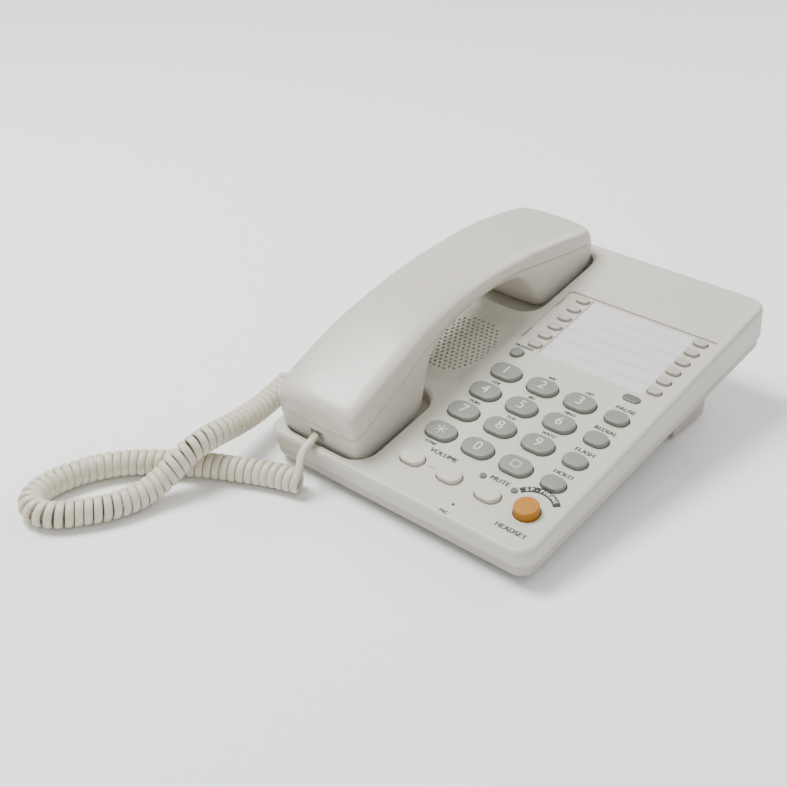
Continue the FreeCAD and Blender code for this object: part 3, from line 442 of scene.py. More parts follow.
# the two wells and the floor between them, which the handset lies in
WELL_LEFT = -72.3
WELL_RIGHT = -18.8
WELLS = (
    # low corner, high corner, corner radius, lip, foot
    ((WELL_LEFT, 33.0, -8.4), (WELL_RIGHT, 98.1, 0), WELL_CORNER, WELL_LIP, 1.5),
    ((WELL_LEFT, -99.6, -8.4), (WELL_RIGHT, -42.2, 0), WELL_CORNER, WELL_LIP, 1.5),
)
TRAY_LOW = (-60.0, -31.0, -3.3)
TRAY_HIGH = (-25.0, 25.0, -3.2)
TRAY_SLOPE = 10.0
TRAY_CORNER = 9.0
TRAY_STEPS = 10
TRAY_WALL_REACH = 7.0
TRAY_WALL_CORNER = 12.0
FLOOR_MARGIN = 0.6
FLOOR_THICKNESS = 3.0
hollow = round_block("hollow", (WALL - HALF_WIDTH, WALL - HALF_DEPTH, -40),
                     (HALF_WIDTH - WALL, HALF_DEPTH - WALL, -WALL), CORNER - WALL)
bpy.ops.object.mode_set(mode="OBJECT")
for low, high, corner, lip, foot in WELLS:
    wall = round_block("well_wall", [place - WALL for place in low],
                       (high[0] + WALL, high[1] + WALL, 5), corner + WALL)
    bpy.ops.object.mode_set(mode="OBJECT")
    combine(hollow, wall)
tray_wall = round_block("tray_wall", [place - TRAY_WALL_REACH for place in TRAY_LOW],
                        (TRAY_HIGH[0] + TRAY_WALL_REACH, TRAY_HIGH[1] + TRAY_WALL_REACH, 5),
                        TRAY_WALL_CORNER)
bpy.ops.object.mode_set(mode="OBJECT")
combine(hollow, tray_wall)
combine(case_top, hollow)
for low, high, corner, lip, foot in WELLS:
    floor = round_block("well_floor",
                        (low[0] - FLOOR_MARGIN, low[1] - FLOOR_MARGIN, low[2] - WALL),
                        (high[0] + WALL, high[1] + WALL, low[2] + FLOOR_THICKNESS),
                        corner + FLOOR_MARGIN)
    bpy.ops.object.mode_set(mode="OBJECT")
    combine(case_top, floor, "UNION")
for low, high, corner, lip, foot in WELLS:
    combine(case_top, cutter("well", low, high, corner, lip, foot))
# the loudspeaker's floor, whose sides rise to the panel in a long soft slope
tray = round_block("tray", TRAY_LOW, TRAY_HIGH, TRAY_CORNER)
shares = [step / TRAY_STEPS for step in range(1, TRAY_STEPS + 1)]
steps = [(-TRAY_HIGH[2] * (3 * share ** 2 - 2 * share ** 3), TRAY_SLOPE * share)
         for share in shares]
climb(TRAY_HIGH[2], steps + [(steps[-1][0] + CLEAR_OF_PANEL, TRAY_SLOPE)])
bpy.ops.object.mode_set(mode="OBJECT")
combine(case_top, tray)

# openings for the keys, lamps, card, plunger, jacks and ringer switch
KEY_NODES = [name for name in frame["bodies"] if name.startswith(("key_", "memory_"))]
KEY_FLANGE = 1.4
KEY_GAP = 0.35
MEMORY_EXTRA = 0.9
UNDER_PANEL = -4.5


def cap_size(node):
    """A key's cap: length, width, height over the panel and middle, in mm"""
    size, middle = dimensions(node)
    top = panel_box(node)[1].z
    extra = MEMORY_EXTRA if node.startswith("memory_") else 0.0
    return size.x - 2 * KEY_FLANGE, size.y - 2 * KEY_FLANGE + extra, top, middle


openings = []
for node in KEY_NODES:
    length, width, _, middle = cap_size(node)
    half = Vector((length / 2 + KEY_GAP, width / 2 + KEY_GAP, 0))
    low = middle - half
    high = middle + half
    openings.append(cutter(node + "_hole", (low.x, low.y, UNDER_PANEL), (high.x, high.y, 0),
                           half.y, 0.3, segments=9))
ROUND_OPENINGS = (
    # name, x, y, radius, lip, segments
    ("lamp_hole", 30.82, -74.8, 1.6, 0.15, 5),
    ("lamp_hole", 47.54, -74.8, 1.6, 0.15, 5),
    ("mic_hole", 30.6, -96.0, 0.8, 0.1, 4),
)
for name, x, y, radius, lip, segments in ROUND_OPENINGS:
    openings.append(cutter(name, (x - radius, y - radius, UNDER_PANEL),
                           (x + radius, y + radius, 0), radius, lip, segments=segments))
openings.append(cutter("ringer_lamp_hole", (52.7, 1.8, UNDER_PANEL), (61.9, 6.6, 0), 2.4, 0.25))
combine(case_top, join(openings))
CARD_LOW = Vector((1.0, 9.6, -1.2))
CARD_HIGH = Vector((59.0, 60.0, -0.03))
CARD_CORNER = 1.0
CARD_GAP = 0.08
combine(case_top, cutter("card_recess",
                         (CARD_LOW.x - CARD_GAP, CARD_LOW.y - CARD_GAP, CARD_LOW.z - 0.1),
                         (CARD_HIGH.x + CARD_GAP, CARD_HIGH.y + CARD_GAP, 0), CARD_CORNER, 0.06))
# the rounded groove that frames the card, and the two slots in its left leg
GROOVE = (
    # left, front, length, width, bottom
    (-12.8, 60.0, 82.8, 1.8, -1.3),
    (-14.2, 15.0, 1.5, 45.5, -0.9),
)
SLOT_FRONTS = (17.5, 47.0)
SLOT_LENGTH = 8.5
for x, y, length, width, depth in GROOVE:
    combine(case_top, cutter("groove", (x, y, depth), (x + length, y + width, 0),
                             min(length, width) / 2, 0.35, foot=0.25, segments=5))
for y in SLOT_FRONTS:
    combine(case_top, cutter("slot", (-13.85, y, UNDER_PANEL), (-13.05, y + SLOT_LENGTH, 0), 0.4,
                             0.05, segments=3))
SQUARE_OPENINGS = (
    # name, low corner, high corner
    ("hook_hole", (-52.8, 58.7, -12), (-40.2, 65.3, -5)),
    ("line_hole", (35, 101, -11), (45, 107, -4)),
    ("cord_hole", (-80, -37.9, -9.6), (-69, -30.1, -4)),
    ("ringer_slot", (8.5, 101, -11.2), (19.5, 107, -6.8)),
)
for name, low, high in SQUARE_OPENINGS:
    combine(case_top, add_block(name, low, high))

# the sound holes over the loudspeaker, set half a pitch apart from row to row
bpy.ops.object.select_all(action="DESELECT")
bpy.ops.mesh.primitive_cylinder_add(vertices=8, radius=SOUND_HOLE, depth=8, location=(0, 0, -5))
hole = bpy.context.object
bpy.ops.object.transform_apply(location=True)
holes = []
row_step = SOUND_HOLE_PITCH * math.sqrt(0.75)
rows = int(SOUND_HOLE_REACH[1] / row_step)
for row in range(-rows, rows + 1):
    for column in range(-7, 8):
        x = (column + 0.5 * (row % 2)) * SOUND_HOLE_PITCH
        y = row * row_step
        if math.hypot(x / SOUND_HOLE_REACH[0], y / SOUND_HOLE_REACH[1]) <= 1:
            place = (SOUND_HOLE_MIDDLE[0] + x, SOUND_HOLE_MIDDLE[1] + y, 0)
            holes.append(copied(hole, "sound_hole", place))
bpy.data.objects.remove(hole)
combine(case_top, join(holes))
smooth(case_top)
seat(case_top, "case", "case_plastic", case_plastic, replaces=("top_cover",))

# ------------------------------------------------------------------ the lower moulding
# A shallow tray, the wedge that stands the back up, four rubber feet and five plated screws.
# The lower moulding and the rear wedge are coloured darker than the upper one: painted shade along
# and under the seam, over a slightly pinker tone of their own.
lower_plastic_painted_shade = moulded("lower_plastic_painted_shade", (0.41, 0.385, 0.335, 1), (0.45, 0.425, 0.37, 1), 0.38, 0.2)
rubber = moulded("foot_rubber", (0.05, 0.05, 0.05, 1), (0.08, 0.08, 0.075, 1), 0.6, 0.5)
plated = moulded("screw_plating", (0.50, 0.50, 0.48, 1), (0.62, 0.61, 0.58, 1), 0.25, 0.3)
plated.shader.inputs["Metallic"].default_value = 1.0


def paint(node, finish):
    """Gives a CAD node another finish"""
    materials = frame["nodes"][node].data.materials
    for number in range(len(materials)):
        materials[number] = finish.material
    if not len(materials):
        materials.append(finish.material)


# painted shade: the bottom cover and rear stand take the darkened lower finish
paint("bottom_cover", lower_plastic_painted_shade)
paint("rear_stand", lower_plastic_painted_shade)
paint("rubber_feet", rubber)
paint("case_screws", plated)

# ------------------------------------------------------------------ what the case holds
# Board, key mat, loudspeaker, microphone and the sockets, seen only through their openings.
black_plastic = moulded("black_moulding", (0.018, 0.018, 0.018, 1), (0.03, 0.03, 0.03, 1),
                        0.45, 0.3)
board_finish = moulded("board_resin", (0.16, 0.10, 0.035, 1), (0.22, 0.14, 0.05, 1), 0.5, 0.2)
mat_finish = moulded("mat_silicone", (0.10, 0.11, 0.11, 1), (0.14, 0.15, 0.15, 1), 0.55, 0.4)
for node in ("line_jack", "base_cord_jack", "handset_cord_jack", "ringer_switch", "loudspeaker",
             "base_microphone", "receiver_capsule", "transmitter_capsule"):
    paint(node, black_plastic)
paint("main_board", board_finish)
paint("keypad_mat", mat_finish)
paint("hook_plunger", case_plastic)


# ------------------------------------------------------------------ the keys
# Moulded caps that stand through the panel, held under it by a flange.  The dialling and
# function keys are mid grey, the dialling keys with white printed figures, the one-touch,
# volume and mute keys off-white, and the speakerphone key a tall orange button.
KEY_FOOT = -4.1
FLANGE_TOP = -2.9
CROWN = 0.15
EDGE_STEPS = 5
FIGURE_HEIGHT = 5.4
FIGURE_STROKE = 0.45
SQUARE_FIGURE = ((-2.1, -1.9), (2.1, -1.9), (2.1, 1.9), (-2.1, 1.9))
STAR_REACH = 3.0
CAPITALS_SHARE = 0.69
PRINT_THICKNESS = 0.03

grey_plastic = moulded("key_grey", (0.185, 0.192, 0.165, 1), (0.215, 0.222, 0.195, 1), 0.36, 0.12)
pale_plastic = moulded("key_pale", (0.52, 0.50, 0.41, 1), (0.57, 0.55, 0.46, 1), 0.30, 0.10)
memory_plastic = moulded("key_memory", (0.39, 0.375, 0.32, 1), (0.43, 0.415, 0.36, 1), 0.32, 0.10)
orange_plastic = moulded("key_orange", (0.36, 0.140, 0.0, 1), (0.40, 0.158, 0.0, 1), 0.5, 0.10)
white_print = moulded("white_print", (0.55, 0.55, 0.52, 1), (0.62, 0.62, 0.59, 1), 0.5, 0.2)
dark_print = moulded("dark_print", (0.012, 0.012, 0.011, 1), (0.022, 0.022, 0.02, 1), 0.5, 0.2)

KEY_FIGURES = {
    "key_one": "1", "key_two": "2", "key_three": "3", "key_four": "4", "key_five": "5",
    "key_six": "6", "key_seven": "7", "key_eight": "8", "key_nine": "9", "key_zero": "0",
    "key_star": "*",
}


def key_cap(name, length, width, height, rounding):
    """A cap modelled at the panel's middle: flange, wall, rounded edge and a faint crown"""
    wide = Vector((length / 2 + KEY_FLANGE, width / 2 + KEY_FLANGE, 0))
    piece = round_block(name, (-wide.x, -wide.y, KEY_FOOT), (wide.x, wide.y, FLANGE_TOP),
                        wide.y, 9)
    choose("FACE", at_height(FLANGE_TOP))
    bpy.ops.mesh.inset(thickness=KEY_FLANGE)
    bpy.ops.mesh.extrude_region_move(TRANSFORM_OT_translate={
        "value": (0, 0, height - rounding - CROWN - FLANGE_TOP)})
    for step in range(EDGE_STEPS):
        before = math.pi / 2 * step / EDGE_STEPS
        after = math.pi / 2 * (step + 1) / EDGE_STEPS
        bpy.ops.mesh.inset(thickness=rounding * (math.cos(before) - math.cos(after)),
                           depth=rounding * (math.sin(after) - math.sin(before)))
    left = width / 2 - rounding
    bpy.ops.mesh.inset(thickness=0.30 * left, depth=0.6 * CROWN)
    bpy.ops.mesh.inset(thickness=0.25 * left, depth=0.4 * CROWN)
    bpy.ops.object.mode_set(mode="OBJECT")
    return piece


def lettering(text, height, x, y, z, weight=0.0, slant=0.0, spacing=1.0):
    """Printed letters of a cap height, in mm, made bolder by a second set beside the first"""
    sets = []
    for side in ((-1, 1) if weight else (0,)):
        letters = letter_set(text, height, slant, spacing)
        letters.data.transform(Matrix.Translation(Vector((x + side * weight, y,
                                                          z + 0.003 * side))))
        sets.append(letters)
    return join(sets)


def letter_set(text, height, slant, spacing):
    """One set of letters as a closed mesh, centred on the origin"""
    bpy.ops.object.select_all(action="DESELECT")
    bpy.ops.object.text_add()
    piece = bpy.context.object
    piece.data.body = text
    piece.data.size = height / CAPITALS_SHARE
    piece.data.align_x = "CENTER"
    piece.data.align_y = "CENTER"
    piece.data.extrude = PRINT_THICKNESS / 2
    piece.data.shear = slant
    piece.data.space_character = spacing
    piece.data.resolution_u = 4
    bpy.ops.object.convert(target="MESH")
    bpy.ops.object.mode_set(mode="EDIT")
    bpy.ops.mesh.select_all(action="SELECT")
    bpy.ops.mesh.remove_doubles(threshold=0.001)
    bpy.ops.object.mode_set(mode="OBJECT")
    return bpy.context.object


def stroke(x1, y1, x2, y2, width, z):
    """A printed line between two places"""
    length = math.hypot(x2 - x1, y2 - y1)
    half = PRINT_THICKNESS / 2
    piece = add_block("stroke", (0, -width / 2, z - half), (length, width / 2, z + half))
    turn = Matrix.Rotation(math.atan2(y2 - y1, x2 - x1), 4, "Z")
    piece.data.transform(Matrix.Translation(Vector((x1, y1, 0))) @ turn)
    return piece


def key_figure(node, z):
    """The white figure on a dialling key"""
    if node == "key_square":
        pairs = zip(SQUARE_FIGURE, SQUARE_FIGURE[1:] + SQUARE_FIGURE[:1])
        return join([stroke(*start, *end, FIGURE_STROKE, z) for start, end in pairs])
    if node == "key_star":
        ends = [(STAR_REACH * math.cos(angle), STAR_REACH * math.sin(angle))
                for angle in (math.radians(30 + 60 * arm) for arm in range(6))]
        return join([stroke(*ends[arm], *ends[arm + 3], FIGURE_STROKE, z) for arm in range(3)])
    return lettering(KEY_FIGURES[node], FIGURE_HEIGHT, 0, 0, z)


models = {}
for node in KEY_NODES:
    length, width, height, middle = cap_size(node)
    kind = (round(length, 1), round(width, 1), round(height, 1))
    if kind not in models:
        rounding = 0.8 if width > 5 else 0.55
        models[kind] = key_cap("cap_model", length, width, height, rounding)
    key = copied(models[kind], node + "_cap")
    finish, slot = grey_plastic, "key_grey"
    if node.startswith("memory_"):
        finish, slot = memory_plastic, "key_pale"
    elif "volume" in node or "mute" in node:
        finish, slot = pale_plastic, "key_pale"
    elif "speakerphone" in node:
        finish, slot = orange_plastic, "key_orange"
    smooth(key)
    key.data.materials.append(finish.material)
    if node in KEY_FIGURES or node == "key_square":
        figure = key_figure(node, height + PRINT_THICKNESS / 2)
        figure.data.materials.clear()
        figure.data.materials.append(white_print.material)
        key = join([key, figure])
    key.data.transform(Matrix.Translation(Vector((middle.x, middle.y, 0))))
    seat(key, node, slot, replaces=(node,))
for model in models.values():
    bpy.data.objects.remove(model)

# ------------------------------------------------------------------ printing on the panel
# Words and letters beside the keys, pad-printed in dark grey.  The words only name what a key
# does, and the one over the speakerphone key is light on a dark curved band.
PRINT_Z = PRINT_THICKNESS / 2 + 0.005
LETTER_BOLD = 0.17
WORD_BOLD = 0.24
WORD_SPACING = 1.05


def key_middle(node):
    middle = dimensions(node)[1]
    return middle.x, middle.y


words = []
LETTERS = {"two": "ABC", "three": "DEF", "four": "GHI", "five": "JKL", "six": "MNO",
           "seven": "PQRS", "eight": "TUV", "nine": "WXYZ"}
for name, letters in LETTERS.items():
    x, y = key_middle("key_" + name)
    words.append(lettering(letters, 1.75, x - 0.2, y + 8.5, PRINT_Z, weight=LETTER_BOLD,
                           slant=0.2))
x, y = key_middle("key_star")
words.append(lettering("TONE", 1.75, x - 0.3, y - 8.0, PRINT_Z, weight=LETTER_BOLD, slant=0.2))
for name in ("pause", "redial", "flash", "hold"):
    x, y = key_middle("key_" + name)
    words.append(lettering(name.upper(), 2.4, x, y + 7.6, PRINT_Z, weight=WORD_BOLD,
                           spacing=WORD_SPACING))
FUNCTION_WORDS = (
    # word, height, x, y
    ("VOLUME", 2.6, 8.3, -74.0),
    ("MUTE", 2.6, 38.9, -73.4),
    ("HEADSET", 2.5, 59.9, -94.8),
)
for word, height, x, y in FUNCTION_WORDS:
    words.append(lettering(word, height, x, y, PRINT_Z, weight=WORD_BOLD, spacing=WORD_SPACING))
words.append(stroke(6.4, -83.0, 10.4, -83.0, 0.3, PRINT_Z))
words.append(lettering("MIC", 1.9, 29.8, -101.8, PRINT_Z, weight=WORD_BOLD))
words.append(lettering("PROGRAM", 1.5, -7.0, 9.4, PRINT_Z, weight=LETTER_BOLD, slant=0.25))
# the curved dark label over the speakerphone key
talk_x, talk_y = 59.0, -80.6
BAND_INSIDE = 10.3
BAND_OUTSIDE = 13.7
BAND_START = math.radians(40)
BAND_SWEEP = math.radians(102)
BAND_CUTS = 21
band = add_block("talk_band", (0, BAND_INSIDE, PRINT_Z - PRINT_THICKNESS / 2),
                 (1, BAND_OUTSIDE, PRINT_Z + PRINT_THICKNESS / 2))
bpy.ops.object.mode_set(mode="EDIT")
choose("EDGE", lambda edge: abs(edge.verts[0].co.x - edge.verts[1].co.x) > TINY)
bpy.ops.mesh.subdivide(number_cuts=BAND_CUTS)
bpy.ops.object.mode_set(mode="OBJECT")
for vertex in band.data.vertices:
    angle = BAND_START + BAND_SWEEP * (1 - vertex.co.x)
    radius = vertex.co.y
    vertex.co.x = talk_x + radius * math.cos(angle)
    vertex.co.y = talk_y + radius * math.sin(angle)
words.append(band)
for word in words:
    word.data.materials.clear()
panel_print = join(words)
panel_print.name = "panel_print"
seat(panel_print, "case", "dark_moulding", dark_print)

TALK_WORD = "SP-PHONE"
TALK_WORD_MIDDLE = 91
TALK_WORD_SWEEP = 84
middle_radius = (BAND_INSIDE + BAND_OUTSIDE) / 2
curved = []
for number, letter in enumerate(TALK_WORD):
    share = 0.5 - (number + 0.5) / len(TALK_WORD)
    angle = math.radians(TALK_WORD_MIDDLE + TALK_WORD_SWEEP * share)
    glyph = lettering(letter, 1.9, 0, 0, PRINT_Z + 0.03, weight=LETTER_BOLD)
    glyph.data.transform(Matrix.Rotation(angle - math.pi / 2, 4, "Z"))
    glyph.data.transform(Matrix.Translation(Vector((
        talk_x + middle_radius * math.cos(angle), talk_y + middle_radius * math.sin(angle), 0))))
    glyph.data.materials.clear()
    curved.append(glyph)
talk_word = join(curved)
talk_word.name = "talk_word"
seat(talk_word, "case", "key_pale", white_print)

# ------------------------------------------------------------------ card, window and lamps
# A printed card with a row for each pair of one-touch keys, under a thin clear cover, and
# three lamps with dark tinted lenses.
card_paper = Finish("card_paper")
up_panel = card_paper.node("ShaderNodeVectorMath", {"operation": "DOT_PRODUCT"},
                           {0: card_paper.place(), 1: tuple(panel_back)})["Value"]
ROW_PITCH = 8.5
FIRST_ROW = 56.5
ROWS_BELOW = 100.5          # enough that no place on the card has a count below zero
LINE_START = 0.86           # share of a row at which its band starts
first_row = panel_back.dot(panel @ Vector((0, FIRST_ROW, 0)))
rows_up = (up_panel - first_row) * (1 / (ROW_PITCH * MM)) + ROWS_BELOW
share = rows_up.maths("FRACT", rows_up)
line = share.maths("GREATER_THAN", share, LINE_START)
fibres = card_paper.noise(900.0, 3.0)
paper = card_paper.mix(fibres, (0.60, 0.565, 0.555, 1), (0.66, 0.62, 0.61, 1))
card_paper.set(base_color=card_paper.mix(0.5 * line, paper, (0.40, 0.38, 0.37, 1)),
               roughness=0.6 + 0.1 * fibres)
card_paper.bump(fibres, 0.2, 0.0001)
card = round_block("card", CARD_LOW, (CARD_HIGH.x, CARD_HIGH.y, CARD_LOW.z + 0.3),
                   CARD_CORNER)
bpy.ops.object.mode_set(mode="OBJECT")
seat(card, "case", "label_paper", card_paper, replaces=("label_card",))

clear_cover = Finish("clear_cover")
haze = clear_cover.noise(40.0, 3.0)
clear_cover.set(base_color=clear_cover.mix(haze, (0.86, 0.84, 0.85, 1), (0.9, 0.89, 0.89, 1)),
                roughness=0.12 + 0.08 * haze, alpha=0.14 + 0.04 * haze)
window = round_block("card_window", (CARD_LOW.x, CARD_LOW.y, -0.75), CARD_HIGH, CARD_CORNER)
choose("EDGE", at_height(CARD_HIGH.z))
bpy.ops.mesh.bevel(offset=0.15, segments=2, affect="EDGES")
bpy.ops.object.mode_set(mode="OBJECT")
smooth(window)
seat(window, "case", "window_clear", clear_cover, replaces=("label_window",))

lens = moulded("lamp_lens", (0.11, 0.11, 0.098, 1), (0.14, 0.14, 0.125, 1), 0.30, 0.05, coat=0.1)
paint("status_lamps", lens)
low, high = panel_box("ringer_lamp")
ringer_lens = round_block("ringer_lens", low, (high.x, high.y, 0.1), (high.y - low.y) / 2, 9)
choose("FACE", at_height(0.1))
for inward, rise in ((0.12, 0.3), (0.25, 0.22), (0.5, 0.13)):
    bpy.ops.mesh.inset(thickness=inward, depth=rise)
bpy.ops.object.mode_set(mode="OBJECT")
smooth(ringer_lens)
seat(ringer_lens, "case", "lamp_dark", lens, replaces=("ringer_lamp",))


# ------------------------------------------------------------------ the handset
# Two glossy off-white shells screwed together: the outer one arches from ear to mouth with a
# broad crown and soft shoulders, the inner one carries both cups and the underside of the grip.
HANDSET_MIDDLE = dimensions("receiver_capsule")[1].x
STATIONS = (
    # crown y, crown z, underside y, underside z, half width, share drawn in towards the middle
    (-99.4, 22.5, -97.6, -4.0, 25.0, 0.42),
    (-99.4, 23.6, -97.9, -7.0, 25.0, 0.13),
    (-97.0, 25.0, -95.0, -8.3, 25.0, 0.0),
    (-90.0, 27.6, -87.0, -8.2, 25.2, 0.0),
    (-78.0, 30.6, -74.0, -8.1, 25.2, 0.0),
    (-66.0, 33.4, -61.5, -8.1, 25.1, 0.0),
    (-57.0, 35.4, -52.0, -8.6, 24.8, 0.0),
    (-50.0, 36.8, -47.6, 2.5, 24.3, 0.0),
    (-42.0, 38.1, -42.6, 14.5, 23.6, 0.0),
    (-33.0, 39.2, -34.0, 21.8, 22.8, 0.0),
    (-22.0, 40.1, -22.0, 24.2, 22.2, 0.0),
    (-8.0, 40.1, -8.0, 25.3, 22.0, 0.0),
    (6.0, 39.2, 6.0, 25.2, 22.0, 0.0),
    (18.0, 37.7, 18.0, 23.6, 22.2, 0.0),
    (28.0, 36.2, 28.5, 21.2, 22.8, 0.0),
    (37.0, 34.6, 36.4, 16.0, 23.7, 0.0),
    (45.0, 32.9, 41.6, 4.5, 24.4, 0.0),
    (53.0, 31.0, 46.5, -8.4, 24.9, 0.0),
    (62.0, 28.7, 59.0, -8.1, 25.1, 0.0),
    (73.0, 25.5, 71.0, -8.1, 25.2, 0.0),
    (84.0, 22.0, 83.0, -8.2, 25.2, 0.0),
    (93.0, 19.2, 92.5, -8.3, 25.0, 0.0),
    (97.0, 17.3, 96.6, -7.0, 25.0, 0.10),
    (97.8, 16.0, 97.3, -3.5, 25.0, 0.42),
)
SHELL_GAP = 0.32
SEAM_CUTS = 120
SECTION_CORNERS = 14
END_INSETS = (2.0, 1.8)
HANDSET_SEAM = ((-125.0, 2.3), (-47.0, 25.9), (-36.0, 27.6), (-20.0, 28.0), (14.0, 27.6),
                (27.0, 26.8), (38.0, 24.6), (125.0, -1.0))


def handset_ring(station):
    """The section of the handset at one station, from underneath round to the crown"""
    crown_y, crown_z, under_y, under_z, half, drawn = station
    under = Vector((0, under_y, under_z))
    crown = Vector((0, crown_y, crown_z))
    rise = (crown - under).normalized()
    height = (crown - under).length
    low = min(7.0, 0.30 * height)
    high = max(height - 9.0, 0.62 * height)
    side = ((0, -0.35), (half - 9.0, 0.0), (half - 2.0, 0.7), (half - 0.5, low),
            (half, high), (half - 1.5, height - 3.4), (half - 6.2, height - 1.0),
            (0, height + 0.1))
    ring = [(x, up) for x, up in side] + [(-x, up) for x, up in reversed(side[1:-1])]
    middle = (under + crown) / 2
    places = []
    for x, up in ring:
        place = under + rise * up + Vector((x, 0, 0))
        places.append(place.lerp(middle, drawn) + Vector((HANDSET_MIDDLE, 0, 0)))
    return places


def modelled_bar(name, stations, around):
    """A closed bar whose rings follow the stations, from a cylinder cut into lengths"""
    bpy.ops.object.select_all(action="DESELECT")
    bpy.ops.mesh.primitive_cylinder_add(vertices=around, radius=1, depth=2)
    piece = bpy.context.object
    piece.name = name
    bpy.ops.object.mode_set(mode="EDIT")
    choose("EDGE", is_upright)
    bpy.ops.mesh.subdivide(number_cuts=len(stations) - 2)
    bpy.ops.object.mode_set(mode="OBJECT")
    rings = {}
    for vertex in piece.data.vertices:
        number = round((vertex.co.z + 1) / 2 * (len(stations) - 1))
        rings.setdefault(number, []).append(vertex)
    for number, ring in rings.items():
        ring.sort(key=lambda vertex: math.atan2(vertex.co.y, vertex.co.x) % math.tau)
        for vertex, place in zip(ring, stations[number]):
            vertex.co = place
    return piece


handset = modelled_bar("handset", [handset_ring(station) for station in STATIONS],
                       SECTION_CORNERS)
bpy.ops.object.mode_set(mode="EDIT")
bpy.ops.mesh.select_all(action="SELECT")
bpy.ops.mesh.normals_make_consistent(inside=False)
for thickness in END_INSETS:
    choose("FACE", lambda face: len(face.verts) == SECTION_CORNERS)
    bpy.ops.mesh.inset(thickness=thickness, use_individual=True)
bpy.ops.object.mode_set(mode="OBJECT")
apply_modifier(handset, "SUBSURF", levels=3, render_levels=3)


def seam_height(y):
    """Height of the line between the shells, as a smooth run through its given places"""
    number = 1
    while number < len(HANDSET_SEAM) - 1 and HANDSET_SEAM[number][0] < y:
        number += 1
    (before, low), (after, high) = HANDSET_SEAM[number - 1], HANDSET_SEAM[number]
    share = (y - before) / (after - before)
    slopes = []
    for place in (number - 1, number):
        first = HANDSET_SEAM[max(place - 1, 0)]
        last = HANDSET_SEAM[min(place + 1, len(HANDSET_SEAM) - 1)]
        slopes.append((last[1] - first[1]) / (last[0] - first[0]) * (after - before))
    cube = share ** 3
    square = share ** 2
    return (low * (2 * cube - 3 * square + 1) + slopes[0] * (cube - 2 * square + share)
            + high * (3 * square - 2 * cube) + slopes[1] * (cube - square))


def seam_block(name, drop):
    """Everything under the line between the shells, lowered by a drop, as a cutting block"""
    block = add_block(name, (-90, HANDSET_SEAM[0][0], -60), (0, HANDSET_SEAM[-1][0], 0))
    bpy.ops.object.mode_set(mode="EDIT")
    choose("EDGE", lambda edge: abs(edge.verts[0].co.y - edge.verts[1].co.y) > 0.1)
    bpy.ops.mesh.subdivide(number_cuts=SEAM_CUTS)
    bpy.ops.object.mode_set(mode="OBJECT")
    for vertex in block.data.vertices:
        if vertex.co.z > -1:
            vertex.co.z = seam_height(vertex.co.y) - drop
    return block


handset_plastic = moulded("handset_plastic", (0.54, 0.507, 0.437, 1), (0.57, 0.537, 0.467, 1),
                          0.27, 0.03, coat=0.12)
outer_shell = handset
inner_shell = copied(handset, "handset_inner")
outer_shell.name = "handset_outer"
combine(outer_shell, seam_block("seam", 0.0))
combine(inner_shell, seam_block("seam", SHELL_GAP), "INTERSECT")

# sound openings in both cups and the way in for the cord
CUP_HOLES = (
    # capsule, radius, pitch, rows each way from the middle
    ("receiver_capsule", 1.0, 4.2, 2),
    ("transmitter_capsule", 0.8, 3.2, 1),
)
tools = []
for node, radius, step, rows in CUP_HOLES:
    middle = dimensions(node)[1]
    for row in range(-rows, rows + 1):
        for column in range(-rows, rows + 1):
            if math.hypot(row, column) > rows + 0.3:
                continue
            bpy.ops.object.select_all(action="DESELECT")
            bpy.ops.mesh.primitive_cylinder_add(
                vertices=16, radius=radius, depth=6,
                location=(middle.x + column * step, middle.y + row * step, -8))
            bpy.ops.object.transform_apply(location=True)
            tools.append(bpy.context.object)
size, middle = dimensions("plug_handset")
tools.append(add_block("cord_way", (middle.x - 4.0, -112, middle.z - 2.9),
                       (middle.x + 4.0, -84, middle.z + 2.9)))
combine(inner_shell, join(tools))
for shell, node in ((outer_shell, "handset_outer_shell"), (inner_shell, "handset_inner_shell")):
    smooth(shell, 40)
    seat(shell, "handset", "case_plastic", handset_plastic, replaces=(node,))


# ------------------------------------------------------------------ the cord's two plugs
# Clear modular plugs with a springy latch, one under the handset's mouth end and one in the
# left side of the case, each set a little way into its opening.
PLUG_SIZE = Vector((6.6, 10.6, 4.6))
clear_plug = Finish("clear_plug")
cast = clear_plug.noise(300.0, 2.0)
clear_plug.set(base_color=clear_plug.mix(cast, (0.50, 0.50, 0.47, 1), (0.58, 0.58, 0.55, 1)),
               roughness=0.16 + 0.08 * cast, alpha=0.42 + 0.06 * cast)


def plug_model():
    """A plug along Y at the origin, its lead end at the front and its latch below"""
    half = PLUG_SIZE / 2
    shell = add_block("plug", -half, half)
    bpy.ops.object.mode_set(mode="EDIT")
    choose("EDGE", lambda edge: True)
    bpy.ops.mesh.bevel(offset=0.35, segments=2, affect="EDGES")
    bpy.ops.object.mode_set(mode="OBJECT")
    latch = add_block("latch", (-1.6, -half.y + 0.6, -half.z - 0.55), (1.6, half.y - 3.0, -half.z))
    return join([shell, latch])


plug = plug_model()
smooth(plug)
for node, body, turn, back in (("plug_handset", "handset", 0, Vector((0, 1.6, 0))),
                               ("plug_base", "case", -90, Vector((1.2, 0, 0)))):
    placed = copied(plug, node + "_shell")
    placed.data.transform(Matrix.Rotation(math.radians(turn), 4, "Z"))
    placed.data.transform(Matrix.Translation(dimensions(node)[1] + back))
    seat(placed, body, "plug_clear", clear_plug, replaces=(node,))
bpy.data.objects.remove(plug)

# ------------------------------------------------------------------ the curled cord
# One flat four-core lead in a soft beige jacket.  Its ends are straight and its middle is
# wound into a tight curl.
COIL_DIAMETER = 12.4 * MM
LEAD_WIDTH = 3.7 * MM
LEAD_THICKNESS = 2.5 * MM
COIL_PITCH = 4.0 * MM
LEAD_STEP = 1.2 * MM
RINGS_PER_TURN = 24
SECTION_SIDES = 10

